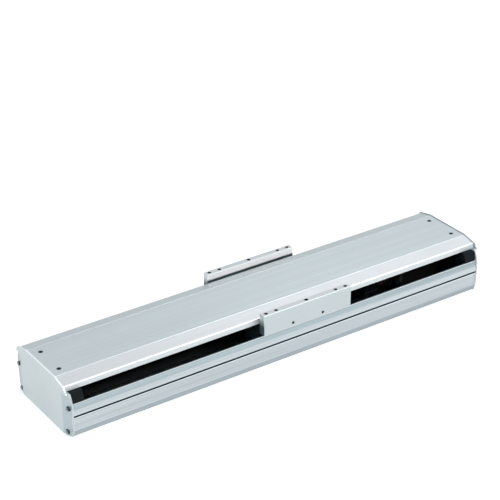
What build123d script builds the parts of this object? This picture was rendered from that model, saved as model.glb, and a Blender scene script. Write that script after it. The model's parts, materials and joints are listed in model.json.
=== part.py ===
from build123d import *
import os
from math import ceil, cos, radians, sin

# Electric slide actuator, in millimetres. X runs along the body, Y across it and Z up.
# The origin is on the base's underside, in the middle of the body.

# Body
body_length = 820.0

# Clearances
fit_gap = 0.2
bore_gap = 0.02
running_gap = 0.05
slide_gap = 0.4

# Extruded base
base_side_inset = 1.0
base_side_taper = 1.8
base_foot_inset = 5.5
base_foot_rise = 11.0
base_wall_thickness = 13.0
base_ledge_height = 9.0
base_lip_inset = 4.0
base_lip_width = 2.2
base_lip_slope_height = 5.0
gutter_width = 9.0
gutter_floor_height = 14.0
channel_lip = 4.0
channel_floor_height = 6.0
underside_relief = 1.2
underside_relief_inset = 4.0
groove_height = 37.0
groove_mouth = 3.2
groove_lip = 1.8
groove_cavity_width = 6.4
groove_cavity_depth = 3.6
wall_skin = 3.2
wall_chamber_floor = 15.5
wall_chamber_height = 13.0
seat_chamber_floor = 3.6
seat_chamber_height = 5.6
chamber_corner = 1.5
screw_port_low_inset = 13.0
screw_port_low = 6.5
screw_port_high_inset = 8.5
screw_port_high_rise = 1.0

# Holes for bolting the base down from below
base_hole_radius = 2.5
base_hole_depth = 11.0
base_hole_inset = 8.0
base_hole_half_spacing_inner = 110.0
base_hole_half_spacing_outer = 330.0

# Guide rails and their seats
rail_offset = 52.0
rail_width = 20.0
rail_height = 17.0
rail_seat_height = 20.0
rail_waist_depth = 1.8
rail_foot_height = 4.5
rail_waist_low = 7.0
rail_waist_high = 9.5
rail_head_height = 12.5
rail_top_edge = 1.0
rail_shoulder_width = 5.0
rail_shoulder_height = 3.0
rail_end_gap = 1.0
rail_hole_distance = 90.0
rail_bolt_radius = 2.5
rail_bolt_head_radius = 4.25
rail_bolt_head_height = 5.0
rail_bolt_depth = 9.0

# Guide blocks
block_width = 44.0
block_steel_length = 52.0
block_cap_length = 5.0
block_cap_step = 0.8
block_height_over_seat = 30.0
block_underside_gap = 4.6
block_end_distance = 34.0
block_bolt_half_pitch_x = 18.0
block_bolt_edge = 6.0
block_bolt_depth = 8.0
block_edge = 1.5

# Table and its two wings
table_offset = 37.0
table_length = 176.0
table_wall_gap = 2.0
table_pad_thickness = 11.0
table_spine_overhang = 3.0
table_spine_relief = 6.0
table_spine_thickness = 12.0
table_bolt_grip = 5.5
wing_thickness = 12.0
wing_foot_thickness = 11.0
wing_leg_height = 37.0
wing_base_gap = 3.0
wing_cover_gap = 4.0
wing_edge = 0.7
wing_corner_radius = 2.0
wing_top_hole_end = 8.0
wing_top_hole_step = 20.0
wing_top_hole_radius = 2.5
wing_top_hole_depth = 12.0
wing_locating_radius = 3.0
wing_locating_depth = 6.0
wing_side_hole_radius = 2.1
wing_side_hole_half_spacing = 30.0
wing_side_hole_rise = 6.5
wing_side_hole_depth = 14.0
wing_foot_screw_shift = 2.0
wing_foot_screw_depth = 9.0
head_cover_depth = 0.5

# Ends of the stroke
overrun = 3.0
support_block_end_gap = 4.0
encoder_end_gap = 3.7
bumper_length = 10.0
bumper_radius = 5.5
bumper_offset = 20.0
bumper_stud_length = 8.0
bumper_edge = 1.5

# Ball screw and nut
screw_height = 37.0
screw_radius = 10.0
fixed_journal_radius = 7.5
end_journal_radius = 6.0
journal_edge = 1.0
nut_radius = 16.0
nut_body_length = 42.0
nut_flange_radius = 25.0
nut_flange_half_height = 17.5
nut_flange_thickness = 10.0
nut_screw_radius_on_flange = 20.5
nut_screw_angle = 20.0
nut_bracket_length = 36.0
nut_bracket_channel_gap = 10.0
nut_bracket_underside = 10.0
nut_bracket_edge = 8.0
nut_table_gap = 2.0
bracket_screw_half_x = 12.0
bracket_screw_inset = 6.5
bracket_screw_depth = 8.0

# Bearing blocks, motor mount and end blocks stand on the same pedestal section
pedestal_channel_gap = 5.0
pedestal_corner_radius = 3.0
pedestal_top = 72.0
pedestal_ear_gap = 0.5
pedestal_ear_height = 12.0
pedestal_bolt_depth = 10.0
pedestal_bolt_shift = 2.0
support_block_thickness = 22.0
fixed_block_thickness = 28.0
motor_mount_thickness = 10.0
end_block_thickness = 22.0
end_block_notch = 14.0
end_block_notch_width = 16.0
end_window_floor = 42.0
end_window_top = 76.0
end_window_corner = 4.0
end_cheek_inset = 5.5
end_cheek_bevel = 5.0
hole_bottom_gap = 1.0

# Bearings and locknut
support_bearing_radius = 14.0
support_bearing_width = 8.0
fixed_bearing_radius = 17.5
fixed_bearing_width = 22.0
bearing_cap_thickness = 5.0
bearing_cap_half_side = 24.0
bearing_cap_bore = 13.5
bearing_cap_screw_offset = 19.0
bearing_seat_depth = 0.5
support_shoulder_radius = 8.4
bearing_edge = 0.6
locknut_radius = 12.0
locknut_length = 8.0
locknut_slot_depth = 3.0
locknut_slot_width = 4.0

# Jaw coupling
coupling_radius = 17.0
coupling_core_radius = 8.5
hub_body_length = 11.0
jaw_length = 7.0
jaw_angle = 42.0
jaw_count = 3
coupling_face_gap = 0.3
coupling_end_gap = 1.0
spider_side_gap = 3.0

# Servo motor
motor_floor_gap = 1.0
motor_flange_thickness = 8.0
motor_flange_step = 1.0
motor_body_length = 64.0
motor_corner_radius = 6.0
motor_corner_relief = 10.0
motor_pilot_inset = 5.0
motor_pilot_height = 3.0
motor_shaft_radius = 7.0
motor_shaft_depth = 18.0
motor_screw_inset = 5.25
encoder_cap_step = 4.0
encoder_cap_length = 28.0
encoder_cap_edge = 2.0

# Cover
cover_thickness = 2.8
cover_side_inset = 17.0
cover_shoulder_width = 26.0
cover_shoulder_drop = 5.8
cover_side_height = 9.4
cover_step = 0.8
cover_edge_radius = 1.5
cover_crease_groove = 0.9
cover_screw_offset_y = 30.0
cover_screw_inset = 18.0

# End plates
end_plate_thickness = 8.0
end_plate_rim_thickness = 2.5
end_plate_shoulder_inset = 15.0
end_plate_bulge_inset = 3.7
end_plate_bulge_height = 68.5
end_plate_edge = 0.4
corner_cut_width = 24.0
corner_flat_width = 5.0
spot_face_radius = 4.0
earth_hole_radius = 1.3
earth_hole_y = 25.0
earth_hole_height = 10.0
earth_hole_depth = 3.0
connector_pocket_half_width = 32.0
connector_pocket_half_height = 14.0
connector_pocket_corner = 4.0
connector_pocket_depth = 5.5
connector_height = 59.0
connector_offset = 16.0
connector_radius = 8.5
connector_flange_radius = 11.5
connector_flange_thickness = 1.6
connector_recess = 0.5
connector_barrel_wall = 1.2
connector_body_length = 20.0
connector_pin_radius = 1.0
connector_pin_circle_radius = 3.8
connector_pin_inset = 0.8

# Screws and bolts: thread radius, head radius, head height, and sockets as shares of the thread
socket_share = 0.95
countersunk_socket_share = 0.8
m4_radius, m4_head_radius, m4_head_height = 2.0, 3.5, 4.4
m5_radius, m5_head_radius, m5_head_height = 2.5, 4.25, 5.0
m6_radius, m6_head_radius, m6_head_height = 3.0, 5.0, 6.0
countersunk_head_radius = 4.2
countersunk_angle = 90.0
plate_screw_length = 18.0
cover_screw_length = 12.0
motor_screw_length = 12.0
nut_screw_length = 10.0

# Sensors
sensor_length = 22.0
sensor_top_height = 20.0
sensor_dog_length = 24.0
sensor_dog_thickness = 1.2
sensor_dog_floor_gap = 3.0
sensor_edge = 1.0
home_sensor_lead = 42.0

# Heights, worked upwards from the rail seats
block_top_height = rail_seat_height + block_height_over_seat
table_bolt_seat_height = block_top_height + table_bolt_grip
table_spine_underside = block_top_height + table_spine_relief
table_spine_top = table_spine_underside + table_spine_thickness
table_pad_top = block_top_height + table_pad_thickness
base_lip_height = table_pad_top - wing_base_gap
base_side_height = base_lip_height - base_ledge_height
screw_port_high = base_side_height + screw_port_high_rise
wing_foot_top = table_pad_top + wing_foot_thickness
wing_top_height = table_pad_top + wing_leg_height
wing_side_hole_height = table_pad_top + wing_side_hole_rise
bumper_height = (table_spine_underside + table_spine_top) / 2
cover_lip_height = wing_foot_top + wing_cover_gap
cover_edge_height = cover_lip_height + cover_side_height
cover_crest = cover_edge_height + cover_shoulder_drop
cover_underside = cover_crest - cover_thickness
body_height = cover_crest + cover_step

# Sizes across the body, worked outwards from the rails
rail_outer = rail_offset + rail_width / 2
seat_outer = rail_outer + rail_shoulder_width
base_inner_half_width = seat_outer + gutter_width
base_half_width = base_inner_half_width + base_wall_thickness
body_half_width = base_half_width + base_side_inset
base_hole_y = base_inner_half_width - base_hole_inset
channel_half_width = rail_offset - rail_width / 2 - channel_lip
groove_share = (base_side_height - groove_height) / (base_side_height - base_foot_rise)
groove_face = base_half_width - base_side_taper * groove_share
pedestal_half_width = channel_half_width - pedestal_channel_gap
pedestal_ear_half_width = rail_outer - pedestal_ear_gap
pedestal_bolt_offset = rail_offset - pedestal_bolt_shift
end_window_half_width = pedestal_half_width + fit_gap
block_bolt_half_pitch_y = block_width / 2 - block_bolt_edge
table_half_width = base_inner_half_width - table_wall_gap
table_spine_half_width = rail_offset + table_spine_overhang
nut_bracket_half_width = channel_half_width - nut_bracket_channel_gap
bracket_screw_half_y = nut_bracket_half_width - bracket_screw_inset
motor_half_side = screw_height - channel_floor_height - motor_floor_gap
motor_body_half_side = motor_half_side - motor_flange_step
motor_pilot_radius = motor_half_side - motor_pilot_inset
motor_screw_offset = motor_half_side - motor_screw_inset
encoder_cap_half_side = motor_half_side - encoder_cap_step
cover_edge_half_width = body_half_width - cover_side_inset
cover_crease_half_width = cover_edge_half_width - cover_shoulder_width
cover_slope = cover_shoulder_drop / cover_shoulder_width
cover_hollow_half_width = cover_edge_half_width - cover_thickness - slide_gap
end_plate_shoulder_half_width = body_half_width - end_plate_shoulder_inset
end_plate_bulge_half_width = body_half_width - end_plate_bulge_inset
wing_inner = body_half_width - wing_thickness

# Places along the body, worked inwards from its two ends: what is left is the table's travel
base_length = body_length - 2 * end_plate_thickness
base_end = base_length / 2
cover_end = body_length / 2 - end_plate_rim_thickness - fit_gap
corner_cut_depth = end_plate_thickness - end_plate_rim_thickness
spot_face_depth = corner_cut_depth
connector_barrel_length = connector_pocket_depth - connector_flange_thickness - connector_recess
end_block_inner = base_end - end_block_thickness
support_block_left = support_block_end_gap - end_block_inner
support_block_right = support_block_left + support_block_thickness
motor_body_end = end_block_inner - encoder_end_gap - encoder_cap_length
motor_face = motor_body_end - motor_body_length - motor_flange_thickness
motor_mount_left = motor_face - motor_mount_thickness
hub_right = motor_mount_left - coupling_end_gap
jaw_right = hub_right - hub_body_length
jaw_left = jaw_right - jaw_length
hub_left = jaw_left - hub_body_length
locknut_right = hub_left - 2 * coupling_end_gap
locknut_left = locknut_right - locknut_length
fixed_block_right = locknut_left - coupling_face_gap
fixed_block_left = fixed_block_right - fixed_block_thickness
fixed_bearing_left = fixed_block_right - fixed_bearing_width
shaft_left = jaw_right + coupling_end_gap
table_left = table_offset - table_length / 2
table_right = table_offset + table_length / 2
travel_left = table_left - overrun - bumper_length - support_block_right
travel_right = fixed_block_left - bumper_length - overrun - table_right
rail_left = support_block_right + rail_end_gap
rail_right = fixed_block_left - rail_end_gap
rail_length = rail_right - rail_left
rail_middle = (rail_left + rail_right) / 2
rail_top = rail_seat_height + rail_height
rail_bolts_per_rail = ceil(rail_length / rail_hole_distance)
block_offset_x = table_length / 2 - block_end_distance
wing_top_hole_outer = table_length / 2 - wing_top_hole_end
wing_top_hole_inner = wing_top_hole_outer - wing_top_hole_step

os.makedirs("parts", exist_ok=True)


def save(piece, node):
    piece.part.label = node
    export_step(piece.part, f"parts/{node}.step")


def along_x(x, y, z, towards=1):
    """A plane at a point, with its normal along the body."""
    return Plane(origin=(x, y, z), x_dir=(0, 1, 0), z_dir=(towards, 0, 0))


def cap_screw(radius, head_radius, head_height, length, socket=True):
    """A cap screw on its axis: the head stands on Z = 0 and the shank hangs below it."""
    with BuildPart() as screw:
        with BuildSketch(Plane.XZ):
            with BuildLine():
                Polyline(
                    (0, -length),
                    (radius, -length),
                    (radius, 0),
                    (head_radius, 0),
                    (head_radius, head_height),
                    (0, head_height),
                    close=True,
                )
            make_face()
        revolve(axis=Axis.Z)
        if socket:
            with BuildSketch(Plane.XY.offset(head_height)):
                RegularPolygon(radius=radius * socket_share, side_count=6)
            extrude(amount=-head_height / 2, mode=Mode.SUBTRACT)
    return screw.part


def countersunk_screw(radius, head_radius, length):
    """A countersunk screw on its axis: the head's flat face is on Z = 0."""
    with BuildPart() as screw:
        with BuildSketch(Plane.XZ):
            with BuildLine():
                Polyline(
                    (0, -length),
                    (radius, -length),
                    (radius, radius - head_radius),
                    (head_radius, 0),
                    (0, 0),
                    close=True,
                )
            make_face()
        revolve(axis=Axis.Z)
        with BuildSketch(Plane.XY):
            RegularPolygon(radius=radius * countersunk_socket_share, side_count=6)
        extrude(amount=radius - head_radius, mode=Mode.SUBTRACT)
    return screw.part


def rail_outline(grow):
    """The rail's section, waisted for the ball tracks, grown all round by a clearance."""
    half = rail_width / 2
    with BuildSketch() as outline:
        with BuildLine():
            Polyline(
                (0, 0),
                (half, 0),
                (half, rail_foot_height),
                (half - rail_waist_depth, rail_waist_low),
                (half - rail_waist_depth, rail_waist_high),
                (half, rail_head_height),
                (half, rail_height - rail_top_edge),
                (half - rail_top_edge, rail_height),
                (0, rail_height),
                close=True,
            )
        make_face()
        mirror(about=Plane.YZ)
        if grow > 0:
            offset(amount=grow, kind=Kind.INTERSECTION)
    return outline.sketch


def pedestal_outline(top, x):
    """Section shared by the blocks that stand in the channel and on the rail seats."""
    with BuildSketch(Plane.YZ.offset(x)) as outline:
        with BuildLine():
            Polyline(
                (0, channel_floor_height),
                (channel_half_width - fit_gap, channel_floor_height),
                (channel_half_width - fit_gap, rail_seat_height),
                (pedestal_ear_half_width, rail_seat_height),
                (pedestal_ear_half_width, rail_seat_height + pedestal_ear_height),
                (pedestal_half_width, rail_seat_height + pedestal_ear_height),
                (pedestal_half_width, top),
                (0, top),
                close=True,
            )
        make_face()
        mirror(about=Plane.YZ)
        inner = outline.vertices().filter_by(
            lambda v: abs(abs(v.X) - pedestal_half_width) < fit_gap
        )
        fillet(inner, radius=pedestal_corner_radius)
    return outline.sketch


def pedestal_bolt_places(x):
    """Bolt seats on the two ears of a block whose middle is at x."""
    ear_top = rail_seat_height + pedestal_ear_height
    return [(x, side * pedestal_bolt_offset, ear_top) for side in (-1, 1)]


support_block_middle = (support_block_left + support_block_right) / 2
fixed_block_middle = (fixed_block_left + fixed_block_right) / 2
motor_mount_middle = motor_mount_left + motor_mount_thickness / 2
end_bolt_x = end_block_inner + end_block_notch / 2
pedestal_bolt_x = [-end_bolt_x, support_block_middle, fixed_block_middle, motor_mount_middle, end_bolt_x]
pedestal_bolt_seats = [place for x in pedestal_bolt_x for place in pedestal_bolt_places(x)]
rail_bolt_grid = GridLocations(rail_hole_distance, 2 * rail_offset, rail_bolts_per_rail, 2)
rail_bolt_places = [
    (rail_middle + spot.position.X, spot.position.Y) for spot in rail_bolt_grid.locations
]
cover_screw_x = body_length / 2 - cover_screw_inset
cover_screw_places = [
    (x, y) for x in (-cover_screw_x, cover_screw_x) for y in (-cover_screw_offset_y, cover_screw_offset_y)
]
plate_screw_spots = [
    (side * (base_half_width - inset), height)
    for side in (-1, 1)
    for inset, height in ((screw_port_low_inset, screw_port_low), (screw_port_high_inset, screw_port_high))
]

# Extruded base: a channel section with seats for the rails, hollow walls, a narrow groove
# along each side, and ports for the end plates' screws
with BuildPart() as base_extrusion:
    with BuildSketch(Plane.YZ.offset(-base_end)):
        with BuildLine():
            Polyline(
                (0, underside_relief),
                (channel_half_width - underside_relief_inset, underside_relief),
                (channel_half_width - underside_relief_inset + underside_relief, 0),
                (base_half_width - base_foot_inset, 0),
                (base_half_width - base_side_taper, base_foot_rise),
                (base_half_width, base_side_height),
                (base_half_width - base_lip_inset, base_lip_height),
                (base_half_width - base_lip_inset - base_lip_width, base_lip_height),
                (base_inner_half_width, base_lip_height - base_lip_slope_height),
                (base_inner_half_width, gutter_floor_height),
                (seat_outer, gutter_floor_height),
                (seat_outer, rail_seat_height + rail_shoulder_height),
                (rail_outer, rail_seat_height + rail_shoulder_height),
                (rail_outer, rail_seat_height),
                (channel_half_width, rail_seat_height),
                (channel_half_width, channel_floor_height),
                (0, channel_floor_height),
                close=True,
            )
        make_face()
        mirror(about=Plane.YZ)
        mouth_depth = base_half_width - groove_face + groove_lip + groove_cavity_depth
        cavity_y = groove_face - groove_lip - groove_cavity_depth / 2
        chamber_outer = base_half_width - base_side_taper - wall_skin
        chamber_inner = base_inner_half_width + wall_skin
        for side in (-1, 1):
            with Locations((side * (base_half_width - mouth_depth / 2), groove_height)):
                Rectangle(mouth_depth, groove_mouth, mode=Mode.SUBTRACT)
            with Locations((side * cavity_y, groove_height)):
                Rectangle(groove_cavity_depth, groove_cavity_width, mode=Mode.SUBTRACT)
            chamber_y = side * (chamber_inner + chamber_outer) / 2
            with Locations((chamber_y, wall_chamber_floor + wall_chamber_height / 2)):
                RectangleRounded(
                    chamber_outer - chamber_inner, wall_chamber_height, chamber_corner, mode=Mode.SUBTRACT
                )
            with Locations((side * rail_offset, seat_chamber_floor + seat_chamber_height / 2)):
                RectangleRounded(
                    rail_width - 2 * chamber_corner, seat_chamber_height, chamber_corner, mode=Mode.SUBTRACT
                )
        with Locations(*plate_screw_spots):
            Circle(m4_radius + running_gap, mode=Mode.SUBTRACT)
    extrude(amount=base_length)
    with BuildSketch(Plane.XY.offset(rail_seat_height)):
        with Locations(*rail_bolt_places):
            Circle(rail_bolt_radius + running_gap)
    extrude(amount=-rail_bolt_depth - hole_bottom_gap, mode=Mode.SUBTRACT)
    with BuildSketch(Plane.XY.offset(rail_seat_height)):
        with Locations(*[(x, y) for x, y, _ in pedestal_bolt_seats]):
            Circle(m6_radius + running_gap)
    extrude(amount=-pedestal_bolt_depth - hole_bottom_gap, mode=Mode.SUBTRACT)
    with BuildSketch(Plane.XY):
        for half_spacing in (base_hole_half_spacing_inner, base_hole_half_spacing_outer):
            with GridLocations(2 * half_spacing, 2 * base_hole_y, 2, 2):
                Circle(base_hole_radius)
    extrude(amount=base_hole_depth, mode=Mode.SUBTRACT)
save(base_extrusion, "base_extrusion")

# Top cover: one bent-over section with sloping shoulders and a lip above each side slot
with BuildPart() as top_cover:
    with BuildSketch(Plane.YZ.offset(-cover_end)) as cover_section:
        with BuildLine():
            Polyline(
                (0, cover_lip_height),
                (cover_edge_half_width, cover_lip_height),
                (cover_edge_half_width, cover_edge_height),
                (cover_crease_half_width, cover_crest),
                (0, cover_crest),
                close=True,
            )
        make_face()
        mirror(about=Plane.YZ)
        offset(amount=-cover_thickness, kind=Kind.INTERSECTION, mode=Mode.SUBTRACT)
        with Locations((0, cover_lip_height + cover_thickness / 2)):
            Rectangle(2 * (cover_edge_half_width - cover_thickness), cover_thickness, mode=Mode.SUBTRACT)
        edge_corners = cover_section.vertices().filter_by(
            lambda v: abs(abs(v.X) - cover_edge_half_width) < fit_gap and v.Y > cover_lip_height + cover_thickness
        )
        fillet(edge_corners, radius=cover_edge_radius)
        with Locations((-cover_crease_half_width, cover_crest), (cover_crease_half_width, cover_crest)):
            Rectangle(cover_crease_groove, cover_crease_groove, rotation=45, mode=Mode.SUBTRACT)
    extrude(amount=2 * cover_end)
    with Locations(*[(x, y, cover_crest) for x, y in cover_screw_places]):
        CounterSinkHole(m4_radius + fit_gap, countersunk_head_radius + fit_gap / 2, cover_thickness, countersunk_angle)
save(top_cover, "top_cover")


def cover_hollow_points():
    """Corners of the room under the cover, on one side, with a clearance to the cover."""
    crease_y = cover_crease_half_width - 2 * slide_gap
    flank_top = cover_underside - cover_slope * (cover_hollow_half_width - crease_y) - slide_gap
    top = cover_underside - slide_gap
    return [(cover_hollow_half_width, flank_top), (crease_y, top), (0, top)]


def end_plate_outline():
    """Outline of the end plates: foot, bulged flanks and a roof a little above the cover."""
    rim_slope = cover_slope * (end_plate_shoulder_half_width - cover_crease_half_width)
    with BuildSketch() as outline:
        with BuildLine():
            foot = Polyline(
                (0, 0),
                (body_half_width - base_foot_inset, 0),
                (body_half_width - base_side_taper, base_foot_rise),
                (body_half_width, base_side_height),
            )
            flank = ThreePointArc(
                foot @ 1,
                (end_plate_bulge_half_width, end_plate_bulge_height),
                (end_plate_shoulder_half_width, body_height - rim_slope),
            )
            Polyline(flank @ 1, (cover_crease_half_width, body_height), (0, body_height), (0, 0))
        make_face()
        mirror(about=Plane.YZ)
    return outline.sketch


def end_plate(towards):
    """End plate: a rim round the cover's end, a step under it, cut corners and spot faces."""
    outer = towards * body_length / 2
    rim_inner = outer - towards * end_plate_rim_thickness
    step_depth = towards * (end_plate_thickness - end_plate_rim_thickness)
    step_top = cover_lip_height - slide_gap
    with BuildPart() as plate:
        with BuildSketch(Plane.YZ.offset(rim_inner)):
            add(end_plate_outline())
        extrude(amount=towards * end_plate_rim_thickness)
        chamfer(plate.faces().sort_by(Axis.X)[-1 if towards > 0 else 0].edges(), length=end_plate_edge)
        with BuildSketch(Plane.YZ.offset(rim_inner)):
            add(end_plate_outline())
            with Locations((0, step_top)):
                Rectangle(
                    2 * body_half_width, body_height, align=(Align.CENTER, Align.MIN), mode=Mode.SUBTRACT
                )
            with BuildLine():
                Polyline(
                    (0, step_top), (cover_hollow_half_width, step_top), *cover_hollow_points(), close=True
                )
            make_face()
            mirror(about=Plane.YZ)
        extrude(amount=-step_depth)
        beyond = body_half_width + end_plate_edge
        with BuildSketch(Plane.XY):
            for side in (-1, 1):
                with BuildLine():
                    Polyline(
                        (outer, side * (body_half_width - corner_cut_width)),
                        (outer, side * beyond),
                        (outer - towards * corner_cut_depth, side * beyond),
                        (outer - towards * corner_cut_depth, side * (body_half_width - corner_flat_width)),
                        close=True,
                    )
                make_face()
        extrude(amount=cover_lip_height, mode=Mode.SUBTRACT)
        with Locations(*[along_x(outer, y, z, towards) for y, z in plate_screw_spots]):
            CounterBoreHole(m4_radius + fit_gap, spot_face_radius, spot_face_depth)
    return plate.part


# Left end plate, with the small hole low on its face
with BuildPart() as end_plate_left:
    add(end_plate(-1))
    with Locations(along_x(-body_length / 2, earth_hole_y, earth_hole_height, -1)):
        Hole(earth_hole_radius, earth_hole_depth)
save(end_plate_left, "end_plate_left")

# Right end plate, with a pocket and two bores for the connectors
connector_places = [(-connector_offset, connector_height), (connector_offset, connector_height)]
with BuildPart() as end_plate_right:
    add(end_plate(1))
    with BuildSketch(Plane.YZ.offset(body_length / 2)):
        with Locations((0, connector_height)):
            RectangleRounded(
                2 * connector_pocket_half_width, 2 * connector_pocket_half_height, connector_pocket_corner
            )
    extrude(amount=-connector_pocket_depth, mode=Mode.SUBTRACT)
    with Locations(*[along_x(body_length / 2, y, z) for y, z in connector_places]):
        Hole(connector_radius + fit_gap)
save(end_plate_right, "end_plate_right")

# Screws of the end plates, heads standing in the spot faces
plate_screw = cap_screw(m4_radius, m4_head_radius, m4_head_height, plate_screw_length)
with BuildPart() as end_plate_screws:
    for towards in (-1, 1):
        seat_x = towards * (body_length / 2 - spot_face_depth)
        with Locations(*[along_x(seat_x, y, z, towards) for y, z in plate_screw_spots]):
            add(plate_screw)
save(end_plate_screws, "end_plate_screws")

# Countersunk screws of the cover
cover_screw = countersunk_screw(m4_radius, countersunk_head_radius, cover_screw_length)
with BuildPart() as top_cover_screws:
    with Locations(*[(x, y, cover_crest) for x, y in cover_screw_places]):
        add(cover_screw)
save(top_cover_screws, "top_cover_screws")


def end_block(towards):
    """Inner end block: stands on the base and carries the cover, with a window for the wiring."""
    inner = towards * end_block_inner
    above_shoulder = rail_seat_height + rail_shoulder_height + slide_gap
    cheek_half_width = body_half_width - end_cheek_inset
    cheek_floor = base_lip_height + slide_gap
    cheek_top = cover_lip_height - slide_gap
    with BuildPart() as block:
        with BuildSketch(Plane.YZ.offset(inner)):
            with BuildLine():
                Polyline(
                    (0, channel_floor_height),
                    (channel_half_width - fit_gap, channel_floor_height),
                    (channel_half_width - fit_gap, rail_seat_height),
                    (pedestal_ear_half_width, rail_seat_height),
                    (pedestal_ear_half_width, above_shoulder),
                    (cover_hollow_half_width, above_shoulder),
                    (cover_hollow_half_width, cheek_floor),
                    (cheek_half_width, cheek_floor),
                    (cheek_half_width, cheek_top - 2 * end_cheek_bevel),
                    (cheek_half_width - end_cheek_bevel, cheek_top),
                    (cover_hollow_half_width, cheek_top),
                    *cover_hollow_points(),
                    close=True,
                )
            make_face()
            mirror(about=Plane.YZ)
        extrude(amount=towards * end_block_thickness)
        with BuildSketch(Plane.YZ.offset(inner)):
            window_middle = (end_window_floor + end_window_top) / 2
            with Locations((0, window_middle)):
                RectangleRounded(
                    2 * end_window_half_width, end_window_top - end_window_floor, end_window_corner
                )
        extrude(amount=towards * end_block_thickness, mode=Mode.SUBTRACT)
        ear_top = rail_seat_height + pedestal_ear_height
        with BuildSketch(Plane.YZ.offset(inner)):
            for side in (-1, 1):
                with Locations((side * pedestal_bolt_offset, (ear_top + cover_underside) / 2)):
                    Rectangle(end_block_notch_width, cover_underside - ear_top)
        extrude(amount=towards * end_block_notch, mode=Mode.SUBTRACT)
        with Locations(*pedestal_bolt_places(towards * end_bolt_x)):
            Hole(m6_radius + fit_gap)
        own_screws = [(x, y, cover_underside) for x, y in cover_screw_places if x * towards > 0]
        with Locations(*own_screws):
            Hole(m4_radius + running_gap, cover_screw_length)
    return block


end_block_left = end_block(-1)
save(end_block_left, "end_block_left")
end_block_right = end_block(1)
save(end_block_right, "end_block_right")

# Block at the left that holds the screw's floating bearing
with BuildPart() as support_bearing_block:
    extrude(pedestal_outline(pedestal_top, support_block_left), amount=support_block_thickness)
    with Locations(along_x(support_block_left, 0, screw_height, -1)):
        CounterBoreHole(
            support_shoulder_radius,
            support_bearing_radius + bore_gap,
            support_bearing_width + 2 * bearing_seat_depth,
        )
    with Locations(*pedestal_bolt_places(support_block_middle)):
        Hole(m6_radius + fit_gap)
    with Locations(*[along_x(support_block_right, side * bumper_offset, bumper_height) for side in (-1, 1)]):
        Hole(m4_radius + running_gap, bumper_stud_length + hole_bottom_gap)
save(support_bearing_block, "support_bearing_block")

# Floating bearing
with BuildPart() as support_bearing:
    with BuildSketch(Plane.YZ.offset(support_block_left + bearing_seat_depth)):
        with Locations((0, screw_height)):
            Circle(support_bearing_radius)
            Circle(end_journal_radius + running_gap, mode=Mode.SUBTRACT)
    extrude(amount=support_bearing_width)
    chamfer(support_bearing.edges().filter_by(GeomType.CIRCLE).group_by(SortBy.RADIUS)[-1], length=bearing_edge)
save(support_bearing, "support_bearing")

# Block at the motor's end that holds the fixed pair of bearings
with BuildPart() as fixed_bearing_block:
    extrude(pedestal_outline(pedestal_top, fixed_block_left), amount=fixed_block_thickness)
    with Locations(along_x(fixed_block_right, 0, screw_height)):
        CounterBoreHole(
            screw_radius + bearing_seat_depth,
            fixed_bearing_radius + bore_gap,
            fixed_bearing_width,
        )
    with Locations(*pedestal_bolt_places(fixed_block_middle)):
        Hole(m6_radius + fit_gap)
    with Locations(*[along_x(fixed_block_left, side * bumper_offset, bumper_height, -1) for side in (-1, 1)]):
        Hole(m4_radius + running_gap, bumper_stud_length + hole_bottom_gap)
    with Locations(along_x(fixed_block_right, 0, screw_height)):
        with GridLocations(2 * bearing_cap_screw_offset, 2 * bearing_cap_screw_offset, 2, 2):
            Hole(m4_radius + running_gap, motor_screw_length)
save(fixed_bearing_block, "fixed_bearing_block")

# Fixed pair of angular contact bearings
with BuildPart() as fixed_bearing_pair:
    half_pair = fixed_bearing_width / 2
    for pair_x in (fixed_bearing_left, fixed_bearing_left + half_pair):
        with BuildSketch(Plane.YZ.offset(pair_x)):
            with Locations((0, screw_height)):
                Circle(fixed_bearing_radius)
                Circle(fixed_journal_radius + running_gap, mode=Mode.SUBTRACT)
        extrude(amount=half_pair)
    with BuildSketch(Plane.YZ.offset(fixed_bearing_left + half_pair - bearing_edge)):
        with Locations((0, screw_height)):
            Circle(fixed_bearing_radius)
            Circle(fixed_bearing_radius - bearing_edge, mode=Mode.SUBTRACT)
    extrude(amount=2 * bearing_edge, mode=Mode.SUBTRACT)
save(fixed_bearing_pair, "fixed_bearing_pair")

# Cap that clamps the fixed bearings
with BuildPart() as bearing_cap:
    with BuildSketch(Plane.YZ.offset(fixed_block_right)):
        with Locations((0, screw_height)):
            RectangleRounded(2 * bearing_cap_half_side, 2 * bearing_cap_half_side, pedestal_corner_radius)
            Circle(bearing_cap_bore, mode=Mode.SUBTRACT)
    extrude(amount=bearing_cap_thickness)
    with Locations(along_x(fixed_block_right + bearing_cap_thickness, 0, screw_height)):
        with GridLocations(2 * bearing_cap_screw_offset, 2 * bearing_cap_screw_offset, 2, 2):
            Hole(m4_radius + fit_gap)
save(bearing_cap, "bearing_cap")

cap_plate_screw = cap_screw(m4_radius, m4_head_radius, m4_head_height, motor_screw_length, socket=False)
with BuildPart() as bearing_cap_screws:
    with Locations(along_x(fixed_block_right + bearing_cap_thickness, 0, screw_height)):
        with GridLocations(2 * bearing_cap_screw_offset, 2 * bearing_cap_screw_offset, 2, 2):
            add(cap_plate_screw)
save(bearing_cap_screws, "bearing_cap_screws")

# Motor mount
with BuildPart() as motor_mount:
    extrude(pedestal_outline(pedestal_top, motor_mount_left), amount=motor_mount_thickness)
    with Locations(along_x(motor_face, 0, screw_height)):
        Hole(motor_pilot_radius + running_gap)
        with GridLocations(2 * motor_screw_offset, 2 * motor_screw_offset, 2, 2):
            Hole(m4_radius + running_gap)
    with Locations(*pedestal_bolt_places(motor_mount_middle)):
        Hole(m6_radius + fit_gap)
save(motor_mount, "motor_mount")

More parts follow.
